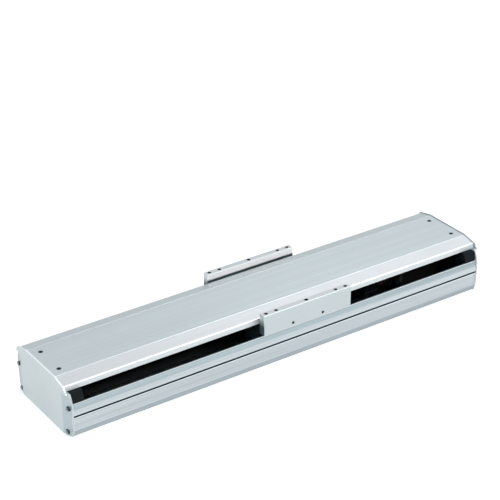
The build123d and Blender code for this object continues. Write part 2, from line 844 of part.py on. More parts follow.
# Servo motor: square flange with a pilot, rounded body and a bore for the shaft
with BuildPart() as motor_body:
    with BuildSketch(Plane.YZ.offset(motor_face)):
        with Locations((0, screw_height)):
            RectangleRounded(2 * motor_half_side, 2 * motor_half_side, motor_corner_radius)
    extrude(amount=motor_flange_thickness)
    with BuildSketch(Plane.YZ.offset(motor_face - motor_pilot_height)):
        with Locations((0, screw_height)):
            Circle(motor_pilot_radius)
    extrude(amount=motor_pilot_height)
    with BuildSketch(Plane.YZ.offset(motor_face + motor_flange_thickness)):
        with Locations((0, screw_height)):
            Rectangle(2 * motor_body_half_side, 2 * motor_body_half_side)
            with GridLocations(2 * motor_body_half_side, 2 * motor_body_half_side, 2, 2):
                Circle(motor_corner_relief, mode=Mode.SUBTRACT)
    extrude(amount=motor_body_length)
    with Locations(along_x(motor_face - motor_pilot_height, 0, screw_height, -1)):
        Hole(motor_shaft_radius + running_gap, motor_pilot_height + motor_shaft_depth + hole_bottom_gap)
    with Locations(along_x(motor_face, 0, screw_height, -1)):
        with GridLocations(2 * motor_screw_offset, 2 * motor_screw_offset, 2, 2):
            Hole(m4_radius + fit_gap, motor_flange_thickness)
save(motor_body, "motor_body")

# Encoder cap at the motor's rear
with BuildPart() as motor_encoder_cap:
    with BuildSketch(Plane.YZ.offset(motor_body_end)):
        with Locations((0, screw_height)):
            RectangleRounded(2 * encoder_cap_half_side, 2 * encoder_cap_half_side, motor_corner_radius)
    extrude(amount=encoder_cap_length)
    chamfer(motor_encoder_cap.faces().sort_by(Axis.X)[-1].edges(), length=encoder_cap_edge)
save(motor_encoder_cap, "motor_encoder_cap")

# Screws that hold the motor's flange to its mount
motor_screw = cap_screw(m4_radius, m4_head_radius, m4_head_height, motor_screw_length, socket=False)
with BuildPart() as motor_screws:
    with Locations(along_x(motor_face + motor_flange_thickness, 0, screw_height)):
        with GridLocations(2 * motor_screw_offset, 2 * motor_screw_offset, 2, 2):
            add(motor_screw)
save(motor_screws, "motor_screws")

# Bolts through the ears of all the blocks
pedestal_bolt = cap_screw(
    m6_radius, m6_head_radius, m6_head_height, pedestal_ear_height + pedestal_bolt_depth, socket=False
)
with BuildPart() as pedestal_bolts:
    with Locations(*pedestal_bolt_seats):
        add(pedestal_bolt)
save(pedestal_bolts, "pedestal_bolts")


def guide_rail(side):
    """Profile rail with counterbored holes."""
    with BuildPart() as rail:
        with BuildSketch(along_x(rail_left, side * rail_offset, rail_seat_height)):
            add(rail_outline(0))
        extrude(amount=rail_length)
        with Locations(*[(x, y, rail_top) for x, y in rail_bolt_places if y * side > 0]):
            CounterBoreHole(
                rail_bolt_radius + fit_gap,
                rail_bolt_head_radius + fit_gap,
                rail_bolt_head_height + hole_bottom_gap,
            )
    return rail


guide_rail_front = guide_rail(-1)
save(guide_rail_front, "guide_rail_front")
guide_rail_rear = guide_rail(1)
save(guide_rail_rear, "guide_rail_rear")

rail_head_seat = rail_top - rail_bolt_head_height - hole_bottom_gap
rail_bolt = cap_screw(
    rail_bolt_radius,
    rail_bolt_head_radius,
    rail_bolt_head_height,
    rail_head_seat - rail_seat_height + rail_bolt_depth,
    socket=False,
)
with BuildPart() as guide_rail_bolts:
    with Locations(*[(x, y, rail_head_seat) for x, y in rail_bolt_places]):
        add(rail_bolt)
save(guide_rail_bolts, "guide_rail_bolts")


def bumpers(face_x, towards):
    """Two rubber bumpers with their studs, on the face that the table would meet."""
    with BuildPart() as pair:
        for side in (-1, 1):
            with BuildSketch(along_x(face_x, side * bumper_offset, bumper_height, towards)):
                Circle(bumper_radius)
            extrude(amount=bumper_length)
            with BuildSketch(along_x(face_x, side * bumper_offset, bumper_height, -towards)):
                Circle(m4_radius)
            extrude(amount=bumper_stud_length)
        tips = pair.edges().filter_by(GeomType.CIRCLE).sort_by(Axis.X)
        chamfer(tips[-2:] if towards > 0 else tips[:2], length=bumper_edge)
    return pair


bumpers_left = bumpers(support_block_right, 1)
save(bumpers_left, "bumpers_left")
bumpers_right = bumpers(fixed_block_left, -1)
save(bumpers_right, "bumpers_right")


def proximity_sensor(x):
    """Flat proximity sensor in the channel, beside the nut bracket."""
    face_y = nut_bracket_half_width + sensor_dog_thickness + 2 * slide_gap
    with BuildPart() as sensor:
        with BuildSketch(Plane.XY.offset(channel_floor_height)):
            with Locations((x, (face_y + channel_half_width) / 2)):
                Rectangle(sensor_length, channel_half_width - face_y)
        extrude(amount=sensor_top_height - channel_floor_height)
        chamfer(sensor.edges().filter_by(Axis.Z), length=sensor_edge)
        with Locations((x - sensor_length / 4, (face_y + channel_half_width) / 2, sensor_top_height)):
            Hole(earth_hole_radius)
    return sensor


limit_sensor_left = proximity_sensor(table_offset - travel_left - sensor_dog_length / 2)
save(limit_sensor_left, "limit_sensor_left")
limit_sensor_right = proximity_sensor(table_offset + travel_right + sensor_dog_length / 2)
save(limit_sensor_right, "limit_sensor_right")
home_sensor = proximity_sensor(table_offset - travel_left + home_sensor_lead)
save(home_sensor, "home_sensor")


def panel_connector(y, pin_count):
    """Round receptacle: flange in the pocket, barrel with pins outside and body inside."""
    pocket_floor = body_length / 2 - connector_pocket_depth
    with BuildPart() as connector:
        with BuildSketch(along_x(pocket_floor, y, connector_height)):
            Circle(connector_flange_radius)
        extrude(amount=connector_flange_thickness)
        with BuildSketch(along_x(pocket_floor + connector_flange_thickness, y, connector_height)):
            Circle(connector_radius)
            Circle(connector_radius - connector_barrel_wall, mode=Mode.SUBTRACT)
        extrude(amount=connector_barrel_length)
        with BuildSketch(along_x(pocket_floor + connector_flange_thickness, y, connector_height)):
            with PolarLocations(connector_pin_circle_radius, pin_count):
                Circle(connector_pin_radius)
        extrude(amount=connector_barrel_length - connector_pin_inset)
        with BuildSketch(along_x(pocket_floor, y, connector_height)):
            Circle(connector_radius)
        extrude(amount=-connector_body_length)
    return connector


power_connector = panel_connector(-connector_offset, 4)
save(power_connector, "power_connector")
signal_connector = panel_connector(connector_offset, 6)
save(signal_connector, "signal_connector")

# Places of the carriage's screws
block_bolt_places = [
    (table_offset + end * block_offset_x + dx, side * rail_offset + dy)
    for end in (-1, 1)
    for side in (-1, 1)
    for dx in (-block_bolt_half_pitch_x, block_bolt_half_pitch_x)
    for dy in (-block_bolt_half_pitch_y, block_bolt_half_pitch_y)
]
foot_screw_y = (table_spine_half_width + wing_inner) / 2
foot_screw_x = [table_offset + step * (block_offset_x - wing_foot_screw_shift) for step in (-1, 0, 1)]
foot_head_seat = wing_foot_top - m5_head_height - head_cover_depth
bracket_screw_places = [
    (table_offset + dx, dy)
    for dx in (-bracket_screw_half_x, bracket_screw_half_x)
    for dy in (-bracket_screw_half_y, bracket_screw_half_y)
]
bracket_head_seat = table_spine_top - m5_head_height - head_cover_depth

# Table plate: a thick spine between thinner pads that carry the wings, relieved over the nut
with BuildPart() as table_plate:
    with BuildSketch(Plane.YZ.offset(table_left)):
        with BuildLine():
            Polyline(
                (0, table_spine_underside),
                (nut_bracket_half_width + nut_table_gap, table_spine_underside),
                (nut_bracket_half_width + nut_table_gap, block_top_height),
                (table_half_width, block_top_height),
                (table_half_width, table_pad_top),
                (table_spine_half_width, table_pad_top),
                (table_spine_half_width, table_spine_top),
                (0, table_spine_top),
                close=True,
            )
        make_face()
        mirror(about=Plane.YZ)
    extrude(amount=table_length)
    with BuildSketch(Plane.XY.offset(table_spine_top)):
        with Locations(*block_bolt_places):
            Circle(m5_head_radius + fit_gap)
    extrude(amount=table_bolt_seat_height - table_spine_top, mode=Mode.SUBTRACT)
    with BuildSketch(Plane.XY.offset(table_bolt_seat_height)):
        with Locations(*block_bolt_places):
            Circle(m5_radius + fit_gap)
    extrude(amount=block_top_height - table_bolt_seat_height, mode=Mode.SUBTRACT)
    with Locations(*[(x, side * foot_screw_y, table_pad_top) for x in foot_screw_x for side in (-1, 1)]):
        Hole(m5_radius + running_gap, wing_foot_screw_depth + head_cover_depth)
    with Locations(*[(x, y, table_spine_top) for x, y in bracket_screw_places]):
        CounterBoreHole(m5_radius + fit_gap, m5_head_radius + fit_gap, table_spine_top - bracket_head_seat)
save(table_plate, "table_plate")


def wing(side):
    """Angle bar: its foot lies on the table inside the body, its leg rises outside the cover."""
    with BuildPart() as bar:
        with BuildSketch(Plane.YZ.offset(table_left)) as section:
            with BuildLine():
                Polyline(
                    (side * (table_spine_half_width + fit_gap), table_pad_top),
                    (side * body_half_width, table_pad_top),
                    (side * body_half_width, wing_top_height),
                    (side * wing_inner, wing_top_height),
                    (side * wing_inner, wing_foot_top),
                    (side * (table_spine_half_width + fit_gap), wing_foot_top),
                    close=True,
                )
            make_face()
            inner_corner = section.vertices().sort_by_distance((side * wing_inner, wing_foot_top))[0]
            fillet(inner_corner, radius=wing_corner_radius)
        extrude(amount=table_length)
        leg_face = bar.faces().sort_by(Axis.Y)[-1 if side > 0 else 0]
        top_face = bar.faces().sort_by(Axis.Z)[-1]
        chamfer(leg_face.edges() + top_face.edges().filter_by_position(
            Axis.Y, side * wing_inner - fit_gap, side * wing_inner + fit_gap
        ), length=wing_edge)
        top_y = side * (body_half_width - wing_thickness / 2)
        top_x = [
            table_offset + end * spacing
            for spacing in (wing_top_hole_inner, wing_top_hole_outer)
            for end in (-1, 1)
        ]
        with Locations(*[(x, top_y, wing_top_height) for x in top_x]):
            Hole(wing_top_hole_radius, wing_top_hole_depth)
        with Locations((table_offset, top_y, wing_top_height)):
            Hole(wing_locating_radius, wing_locating_depth)
        side_x = [table_offset + end * wing_side_hole_half_spacing for end in (-1, 1)]
        for x in side_x:
            face_plane = Plane(
                origin=(x, side * body_half_width, wing_side_hole_height), x_dir=(1, 0, 0), z_dir=(0, side, 0)
            )
            with Locations(face_plane):
                Hole(wing_side_hole_radius, wing_side_hole_depth)
        with Locations(*[(x, side * foot_screw_y, wing_foot_top) for x in foot_screw_x]):
            CounterBoreHole(m5_radius + fit_gap, m5_head_radius + fit_gap, wing_foot_top - foot_head_seat)
    return bar


wing_front = wing(-1)
save(wing_front, "wing_front")
wing_rear = wing(1)
save(wing_rear, "wing_rear")

# Screws through the feet of the wings
foot_screw = cap_screw(
    m5_radius,
    m5_head_radius,
    m5_head_height,
    foot_head_seat - table_pad_top + wing_foot_screw_depth,
    socket=False,
)
with BuildPart() as wing_foot_screws:
    with Locations(*[(x, side * foot_screw_y, foot_head_seat) for x in foot_screw_x for side in (-1, 1)]):
        add(foot_screw)
save(wing_foot_screws, "wing_foot_screws")


def block_section(x, clearance, shrink):
    """Guide block's section about its rail, less the rail's own section and a clearance."""
    half = block_width / 2 - shrink
    top = block_top_height - shrink - rail_seat_height
    bottom = block_underside_gap + shrink
    with BuildSketch(Plane.YZ.offset(x)) as section:
        with BuildLine():
            Polyline(
                (0, bottom),
                (half - 2 * block_edge, bottom),
                (half, bottom + 2 * block_edge),
                (half, top - block_edge),
                (half - block_edge, top),
                (0, top),
                close=True,
            )
        make_face()
        mirror(about=Plane.YZ)
        add(rail_outline(clearance), mode=Mode.SUBTRACT)
    return section.sketch


def guide_block(end, side):
    """Steel body of one guide block, with its four tapped holes."""
    start = table_offset + end * block_offset_x - block_steel_length / 2
    place = Location((0, side * rail_offset, rail_seat_height))
    with BuildPart() as block:
        extrude(block_section(start, slide_gap, 0).moved(place), amount=block_steel_length)
        own = [
            (x, y, block_top_height)
            for x, y in block_bolt_places
            if y * side > 0 and (x - table_offset) * end > 0
        ]
        with Locations(*own):
            Hole(m5_radius + running_gap, block_bolt_depth + hole_bottom_gap)
    return block


for end, end_name in ((-1, "left"), (1, "right")):
    for side, side_name in ((-1, "front"), (1, "rear")):
        save(guide_block(end, side), f"guide_block_{side_name}_{end_name}")

# Plastic caps on both ends of each guide block
with BuildPart() as guide_block_end_caps:
    for end in (-1, 1):
        for side in (-1, 1):
            place = Location((0, side * rail_offset, rail_seat_height))
            middle = table_offset + end * block_offset_x
            for start in (middle - block_steel_length / 2 - block_cap_length, middle + block_steel_length / 2):
                extrude(block_section(start, slide_gap, block_cap_step).moved(place), amount=block_cap_length)
save(guide_block_end_caps, "guide_block_end_caps")

block_screw = cap_screw(
    m5_radius,
    m5_head_radius,
    m5_head_height,
    table_bolt_seat_height - block_top_height + block_bolt_depth,
    socket=False,
)
with BuildPart() as guide_block_screws:
    with Locations(*[(x, y, table_bolt_seat_height) for x, y in block_bolt_places]):
        add(block_screw)
save(guide_block_screws, "guide_block_screws")

# Bracket that hangs the nut under the table
nut_screw_y = nut_screw_radius_on_flange * cos(radians(nut_screw_angle))
nut_screw_z = nut_screw_radius_on_flange * sin(radians(nut_screw_angle))
nut_screw_spots = [(sy * nut_screw_y, sz * nut_screw_z) for sy in (-1, 1) for sz in (-1, 1)]
bracket_left = table_offset - nut_bracket_length / 2
with BuildPart() as nut_bracket:
    with BuildSketch(Plane.YZ.offset(bracket_left)):
        with BuildLine():
            Polyline(
                (-nut_bracket_half_width, nut_bracket_underside + nut_bracket_edge),
                (nut_bracket_edge - nut_bracket_half_width, nut_bracket_underside),
                (nut_bracket_half_width - nut_bracket_edge, nut_bracket_underside),
                (nut_bracket_half_width, nut_bracket_underside + nut_bracket_edge),
                (nut_bracket_half_width, table_spine_underside),
                (-nut_bracket_half_width, table_spine_underside),
                close=True,
            )
        make_face()
    extrude(amount=nut_bracket_length)
    with Locations(along_x(bracket_left, 0, screw_height, -1)):
        Hole(nut_radius + bore_gap)
    with Locations(along_x(bracket_left, 0, screw_height, -1)):
        with Locations(*nut_screw_spots):
            Hole(m4_radius + running_gap, nut_screw_length + hole_bottom_gap)
    with Locations(*[(x, y, table_spine_underside) for x, y in bracket_screw_places]):
        Hole(m5_radius + running_gap, bracket_screw_depth + hole_bottom_gap / 2)
save(nut_bracket, "nut_bracket")

bracket_screw = cap_screw(
    m5_radius,
    m5_head_radius,
    m5_head_height,
    bracket_head_seat - table_spine_underside + bracket_screw_depth,
    socket=False,
)
with BuildPart() as nut_bracket_screws:
    with Locations(*[(x, y, bracket_head_seat) for x, y in bracket_screw_places]):
        add(bracket_screw)
save(nut_bracket_screws, "nut_bracket_screws")

# Ball nut: flange with two flats, and the body in the bracket
with BuildPart() as ball_nut:
    with BuildSketch(along_x(bracket_left, 0, screw_height, -1)):
        Circle(nut_flange_radius)
        Rectangle(2 * nut_flange_radius, 2 * nut_flange_half_height, mode=Mode.INTERSECT)
    extrude(amount=nut_flange_thickness)
    with BuildSketch(along_x(bracket_left, 0, screw_height)):
        Circle(nut_radius)
    extrude(amount=nut_body_length)
    with Locations(along_x(bracket_left - nut_flange_thickness, 0, screw_height, -1)):
        Hole(screw_radius + running_gap)
        with Locations(*nut_screw_spots):
            Hole(m4_radius + fit_gap, nut_flange_thickness)
    rim = ball_nut.faces().sort_by(Axis.X)[-1].edges()
    chamfer(rim.group_by(SortBy.RADIUS)[-1], length=bearing_edge)
save(ball_nut, "ball_nut")

nut_screw = cap_screw(m4_radius, m4_head_radius, m4_head_height, nut_flange_thickness + nut_screw_length, socket=False)
with BuildPart() as ball_nut_screws:
    with Locations(along_x(bracket_left - nut_flange_thickness, 0, screw_height, -1)):
        with Locations(*nut_screw_spots):
            add(nut_screw)
save(ball_nut_screws, "ball_nut_screws")

# Dog that the sensors see, on the bracket's rear side
with BuildPart() as sensor_dog:
    with BuildSketch(Plane.XZ.offset(-nut_bracket_half_width)):
        with Locations((table_offset, sensor_top_height)):
            dog_reach = sensor_top_height - channel_floor_height - sensor_dog_floor_gap
            RectangleRounded(sensor_dog_length, 2 * dog_reach, chamber_corner)
    extrude(amount=-sensor_dog_thickness)
save(sensor_dog, "sensor_dog")

# Ball screw: journals turned down at both ends
screw_end = support_block_left + bearing_seat_depth - fit_gap
thread_end = support_block_right + rail_end_gap
shoulder = fixed_bearing_left - coupling_face_gap
with BuildPart() as ball_screw:
    with BuildSketch(Plane.XZ):
        with BuildLine():
            Polyline(
                (screw_end, 0),
                (screw_end, end_journal_radius - bearing_edge),
                (screw_end + bearing_edge, end_journal_radius),
                (thread_end, end_journal_radius),
                (thread_end, screw_radius - journal_edge),
                (thread_end + journal_edge, screw_radius),
                (shoulder, screw_radius),
                (shoulder, fixed_journal_radius),
                (locknut_right, fixed_journal_radius),
                (locknut_right, end_journal_radius),
                (jaw_left - coupling_end_gap, end_journal_radius),
                (jaw_left - coupling_end_gap, 0),
                close=True,
            )
        make_face()
    revolve(axis=Axis.X)
ball_screw.part = ball_screw.part.moved(Location((0, 0, screw_height)))
save(ball_screw, "ball_screw")

# Slotted locknut
with BuildPart() as locknut:
    with BuildSketch(along_x(locknut_left, 0, screw_height)):
        Circle(locknut_radius)
        Circle(fixed_journal_radius + bore_gap, mode=Mode.SUBTRACT)
        with PolarLocations(locknut_radius, 4):
            Rectangle(locknut_slot_depth, locknut_slot_width, mode=Mode.SUBTRACT)
    extrude(amount=locknut_length)
save(locknut, "locknut")


def sector(radius, half_angle, middle_angle):
    """Corner points of a wedge that reaches past a circle of the given radius."""
    reach = 1.5 * radius
    low = radians(middle_angle - half_angle)
    high = radians(middle_angle + half_angle)
    return [(0, 0), (reach * cos(low), reach * sin(low)), (reach * cos(high), reach * sin(high))]


def coupling_hub(body_left, jaws_left, bore, first_angle):
    """Coupling hub with three jaws that reach between the spider's arms."""
    with BuildSketch(along_x(jaws_left, 0, screw_height)) as jaws:
        for number in range(jaw_count):
            with BuildLine():
                Polyline(*sector(coupling_radius, jaw_angle / 2, first_angle + number * 360 / jaw_count), close=True)
            make_face()
        Circle(coupling_radius, mode=Mode.INTERSECT)
        Circle(coupling_core_radius + fit_gap, mode=Mode.SUBTRACT)
    with BuildPart() as hub:
        with BuildSketch(along_x(body_left, 0, screw_height)):
            Circle(coupling_radius)
            Circle(bore + bore_gap, mode=Mode.SUBTRACT)
        extrude(amount=hub_body_length)
        extrude(jaws.sketch, amount=jaw_length - coupling_face_gap)
    return hub


coupling_hub_screw_side = coupling_hub(hub_left, jaw_left, end_journal_radius, 0)
save(coupling_hub_screw_side, "coupling_hub_screw_side")
coupling_hub_motor_side = coupling_hub(jaw_right, jaw_left + coupling_face_gap, motor_shaft_radius, 180 / jaw_count)
save(coupling_hub_motor_side, "coupling_hub_motor_side")

# Spider of the coupling: a core with six arms between the jaws
with BuildPart() as coupling_spider:
    arm_angle = 180 / jaw_count - jaw_angle - spider_side_gap
    with BuildSketch(along_x(jaw_left + coupling_face_gap, 0, screw_height)):
        for number in range(2 * jaw_count):
            with BuildLine():
                Polyline(
                    *sector(coupling_radius, arm_angle / 2, (number + 0.5) * 180 / jaw_count), close=True
                )
            make_face()
        Circle(coupling_radius - fit_gap, mode=Mode.INTERSECT)
        Circle(coupling_core_radius)
    extrude(amount=jaw_length - 2 * coupling_face_gap)
save(coupling_spider, "coupling_spider")

# Motor shaft
with BuildPart() as motor_shaft:
    with BuildSketch(along_x(shaft_left, 0, screw_height)):
        Circle(motor_shaft_radius)
    extrude(amount=motor_face + motor_shaft_depth - shaft_left)
    chamfer(motor_shaft.edges().filter_by(GeomType.CIRCLE), length=bearing_edge)
save(motor_shaft, "motor_shaft")
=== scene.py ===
import json
import math
from collections import namedtuple

import bmesh
import bpy
from mathutils import Matrix, Vector


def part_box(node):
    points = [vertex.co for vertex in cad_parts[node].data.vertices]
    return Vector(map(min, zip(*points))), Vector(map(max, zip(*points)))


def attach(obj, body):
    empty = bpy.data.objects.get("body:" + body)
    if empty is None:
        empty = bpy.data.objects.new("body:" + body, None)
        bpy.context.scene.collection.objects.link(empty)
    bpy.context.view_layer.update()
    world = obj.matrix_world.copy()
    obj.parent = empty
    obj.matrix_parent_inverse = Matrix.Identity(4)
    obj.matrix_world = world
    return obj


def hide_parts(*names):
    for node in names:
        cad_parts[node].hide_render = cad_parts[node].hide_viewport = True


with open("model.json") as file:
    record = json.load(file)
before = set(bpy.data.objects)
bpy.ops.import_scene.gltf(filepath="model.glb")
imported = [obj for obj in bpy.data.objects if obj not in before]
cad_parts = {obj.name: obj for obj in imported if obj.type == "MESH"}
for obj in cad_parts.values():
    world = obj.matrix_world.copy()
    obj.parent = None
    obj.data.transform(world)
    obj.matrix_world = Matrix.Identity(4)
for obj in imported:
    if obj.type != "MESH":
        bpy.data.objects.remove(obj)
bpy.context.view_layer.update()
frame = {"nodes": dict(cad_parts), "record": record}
nodes = frame["nodes"]
mounts = {mount["name"]: mount for mount in frame["record"]["mounts"]}
millimetre = 0.001
tenth = 0.1 * millimetre

# Camera: fitted to the body's edges in the photograph, in millimetres
camera_place = (-1351.2, -1985.8, 1441.9)
camera_right = (0.82752, -0.56139, -0.00803)
camera_up = (0.26944, 0.38454, 0.88291)
camera_back = (-0.49257, -0.73279, 0.46947)
camera_lens = 119.14
sensor_width = 36.0

# Floor and surround
sky_level = 0.55
horizon_colour = (0.58, 0.60, 0.615, 1.0)
ceiling_colour = (0.985, 0.993, 1.0, 1.0)
ceiling_rise = 0.62
floor_colour = (0.86, 0.86, 0.865, 1.0)
floor_half_width = 6.0
floor_glow = 0.34
floor_camera_glow = 0.42

# Ball screw: a two-start thread at the outer diameter that the frame gives; lengths in metres
screw_axis_height = 0.037
thread_lead = 0.020
thread_starts = 2
ball_groove_depth = 0.0013
ball_groove_share = 0.56
thread_turn_steps = 28
thread_pitch_steps = 10
support_journal = 0.006
bearing_journal = 0.0075
coupling_journal = 0.006
journal_edge = 0.0008
journal_steps = 40
journal_overlap = 0.002
support_block_gap = 0.001
bearing_gap = 0.0003

# Tapped holes: pitches and threaded depth in metres, and the ridge as shares of the radius and the pitch
coarse_pitch = 0.0010
fine_pitch = 0.0008
tapped_depth = 0.009
tapped_steps = 18
ridge_height = 0.11
ridge_half_width = 0.42

# Faces that the finishes' zones follow, in metres from the middle planes and the floor
plate_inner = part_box("end_plate_right")[0].x
plate_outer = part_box("end_plate_right")[1].x
plate_rim_thickness = 0.0025
plate_shoulder_height = 0.084
plate_corner_cut = 0.066
end_block_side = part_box("end_block_right")[1].y
channel_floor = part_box("motor_mount")[0].z
foot_top = 0.011
ledge_height = 0.049
lip_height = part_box("base_extrusion")[1].z
lip_inner = 0.0828
lip_outer = 0.085
side_skin = 0.080
sensor_groove_height = mounts["sensor_groove_rear"]["pos_m"][2]
sensor_groove_front = 0.0882
cavity_half_height = 0.0032
mouth_half_height = 0.0016
cover_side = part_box("top_cover")[1].y
cover_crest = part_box("top_cover")[1].z
cover_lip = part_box("top_cover")[0].z
cover_edge = 0.0854
shoulder_width = 0.026
cover_crease = cover_side - shoulder_width
cover_half_thickness = 0.0014
table_middle = mounts["table_face"]["pos_m"][0]
wing_half_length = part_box("wing_rear")[1].x - table_middle
wing_top_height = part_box("wing_rear")[1].z
wing_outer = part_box("wing_rear")[1].y
wing_inner = 0.078
wing_dark_height = 0.0868
wing_foot_dark_height = 0.080
wing_end_dark_height = 0.090
wing_end_fade = 0.014
motor_flange_thickness = 0.008
motor_flange_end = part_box("motor_mount")[1].x + motor_flange_thickness
port_place = mounts["signal_connector_port"]["pos_m"]
barrel_bore_radius = 0.00725
barrel_depth = 0.0034

# Screws and small holes in the end plates and the cover, in metres
low_screws = {"middle": (0, 0, 0.0065), "spread": (0, 0.076, 0), "across": (0, 1, 1)}
high_screws = {"middle": (0, 0, 0.050), "spread": (0, 0.0805, 0), "across": (0, 1, 1)}
spot_face_radius = 0.0048
socket_radius = 0.0020
head_ring_inner = 0.0029
head_ring_outer = 0.0060
cover_screw_spread = (0.392, 0.030, 0)
cover_screw_head_radius = 0.0040
earth_hole_place = (0, 0.025, 0.010)
earth_hole_radius = 0.0014

# Painted shade for what lies in the dark, in holes and in bores, and white as a painted highlight
painted_inside_shade = (0.006, 0.012, 0.014)
painted_hole_shade = (0.010, 0.016, 0.018)
painted_bore_shade = (0.002, 0.004, 0.004)
painted_highlight_white = (1.0, 1.0, 1.0)

# Shared by every finish: clouds of handling, and how far grain and clouds move the roughness
cloud_scale = 9.0
cloud_amount = 0.35
cloud_tint = 0.95
cloud_roughness = 0.08
grain_roughness = 0.05
bump_distance = 0.0002

# Sockets of a Mix node by kind of data: its A, its B and its result, which share their names
mix_sockets = {"RGBA": (6, 7, 2), "FLOAT": (2, 3, 0)}

# What a finish is made of: its pattern, painted shade and light that change its colour, and zones with their
# own finish
Texture = namedtuple("Texture", "group pattern settings contrast")
Shade = namedtuple("Shade", "mask factor")
Zone = namedtuple("Zone", "mask colour metallic roughness")


def new_node(tree, kind, **settings):
    node = tree.nodes.new(kind)
    for name, value in settings.items():
        setattr(node, name, value)
    return node


def set_inputs(node, **values):
    """Sets inputs by name, with _ for each space in it."""
    for name, value in values.items():
        node.inputs[name.replace("_", " ")].default_value = value
    return node


def feed(tree, value, socket):
    """Gives an input a number or colour, or links an output to it."""
    if isinstance(value, bpy.types.NodeSocket):
        tree.links.new(value, socket)
    else:
        socket.default_value = value


def combine(tree, operation, first, second, **settings):
    """One value from two, each a number or a socket."""
    node = new_node(tree, "ShaderNodeMath", operation=operation, **settings)
    feed(tree, first, node.inputs[0])
    feed(tree, second, node.inputs[1])
    return node.outputs["Value"]


def blend(tree, kind, mask, first, second, **settings):
    """What goes from first to second by a mask; each is a value of its kind or a socket."""
    mix = new_node(tree, "ShaderNodeMix", data_type=kind, **settings)
    a, b, result = mix_sockets[kind]
    feed(tree, mask, mix.inputs["Factor"])
    feed(tree, first, mix.inputs[a])
    feed(tree, second, mix.inputs[b])
    return mix.outputs[result]


def blend_colours(tree, mask, first, second):
    return blend(tree, "RGBA", mask, first, second)


def blend_values(tree, mask, first, second):
    return blend(tree, "FLOAT", mask, first, second)


def shade_colour(tree, mask, colour, factor):
    """A colour made darker or lighter by a factor where a mask says: painted shade where darker, painted
    light where lighter.
    """
    return blend(tree, "RGBA", mask, colour, factor + (1.0,), blend_type="MULTIPLY")


def spread_value(tree, value, low, high):
    """A value from 0 to 1 spread between two limits."""
    spread = set_inputs(new_node(tree, "ShaderNodeMapRange"), To_Min=low, To_Max=high)
    feed(tree, value, spread.inputs["Value"])
    return spread.outputs["Result"]


def fade_inside(tree, limit, reach, fade):
    """1 where a reach is well under a limit, down to 0 at the limit."""
    return combine(tree, "DIVIDE", combine(tree, "SUBTRACT", limit, reach), fade, use_clamp=True)


def rgba(colour, factor=1.0):
    """A colour times a factor, with no part over 1 and an alpha of 1."""
    return tuple(min(1.0, part * factor) for part in colour) + (1.0,)


def new_group(name, inputs, outputs):
    """An empty shader group with named inputs and outputs."""
    group = bpy.data.node_groups.new(name, "ShaderNodeTree")
    for label, kind, default in inputs:
        socket = group.interface.new_socket(name=label, in_out="INPUT", socket_type=kind)
        socket.default_value = default
    for label, kind in outputs:
        group.interface.new_socket(name=label, in_out="OUTPUT", socket_type=kind)
    return group, new_node(group, "NodeGroupInput"), new_node(group, "NodeGroupOutput")


def place_group(tree, group, **values):
    node = new_node(tree, "ShaderNodeGroup", node_tree=group)
    return set_inputs(node, **values)


def drawn_lines_group():
    """Lines along the body, as an extrusion die leaves them: hair lines and broader faint bands."""
    group, given, result = new_group(
        "drawn lines",
        [
            ("Along", "NodeSocketFloat", 3.0),
            ("Across", "NodeSocketFloat", 900.0),
            ("Bands", "NodeSocketFloat", 0.4),
            ("Depth", "NodeSocketFloat", 0.15),
        ],
        [("Lines", "NodeSocketFloat"), ("Normal", "NodeSocketVector")],
    )
    link = group.links.new
    place = new_node(group, "ShaderNodeTexCoord")
    patterns = []
    band_share = 0.16
    for count in (1.0, band_share):
        stretch = new_node(group, "ShaderNodeCombineXYZ")
        across = combine(group, "MULTIPLY", given.outputs["Across"], count)
        link(given.outputs["Along"], stretch.inputs["X"])
        link(across, stretch.inputs["Y"])
        link(across, stretch.inputs["Z"])
        scaled = new_node(group, "ShaderNodeVectorMath", operation="MULTIPLY")
        link(place.outputs["Object"], scaled.inputs[0])
        link(stretch.outputs["Vector"], scaled.inputs[1])
        noise = set_inputs(new_node(group, "ShaderNodeTexNoise"), Scale=1.0, Detail=3.0, Roughness=0.55)
        link(scaled.outputs["Vector"], noise.inputs["Vector"])
        patterns.append(noise.outputs["Fac"])
    hair_lines, bands = patterns
    mixed = blend_values(group, given.outputs["Bands"], hair_lines, bands)
    spread = new_node(group, "ShaderNodeMapRange")
    set_inputs(spread, From_Min=0.3, From_Max=0.7)
    link(mixed, spread.inputs["Value"])
    bump = set_inputs(new_node(group, "ShaderNodeBump"), Distance=bump_distance)
    link(hair_lines, bump.inputs["Height"])
    link(given.outputs["Depth"], bump.inputs["Strength"])
    link(spread.outputs["Result"], result.inputs["Lines"])
    link(bump.outputs["Normal"], result.inputs["Normal"])
    return group


def fine_grain_group():
    """Even grain of a blasted, moulded or cast surface."""
    group, given, result = new_group(
        "fine grain",
        [("Scale", "NodeSocketFloat", 1200.0), ("Depth", "NodeSocketFloat", 0.2)],
        [("Grain", "NodeSocketFloat"), ("Normal", "NodeSocketVector")],
    )
    link = group.links.new
    place = new_node(group, "ShaderNodeTexCoord")
    noise = set_inputs(new_node(group, "ShaderNodeTexNoise"), Detail=2.0, Roughness=0.6)
    bump = set_inputs(new_node(group, "ShaderNodeBump"), Distance=bump_distance)
    link(place.outputs["Object"], noise.inputs["Vector"])
    link(given.outputs["Scale"], noise.inputs["Scale"])
    link(noise.outputs["Fac"], bump.inputs["Height"])
    link(given.outputs["Depth"], bump.inputs["Strength"])
    link(noise.outputs["Fac"], result.inputs["Grain"])
    link(bump.outputs["Normal"], result.inputs["Normal"])
    return group


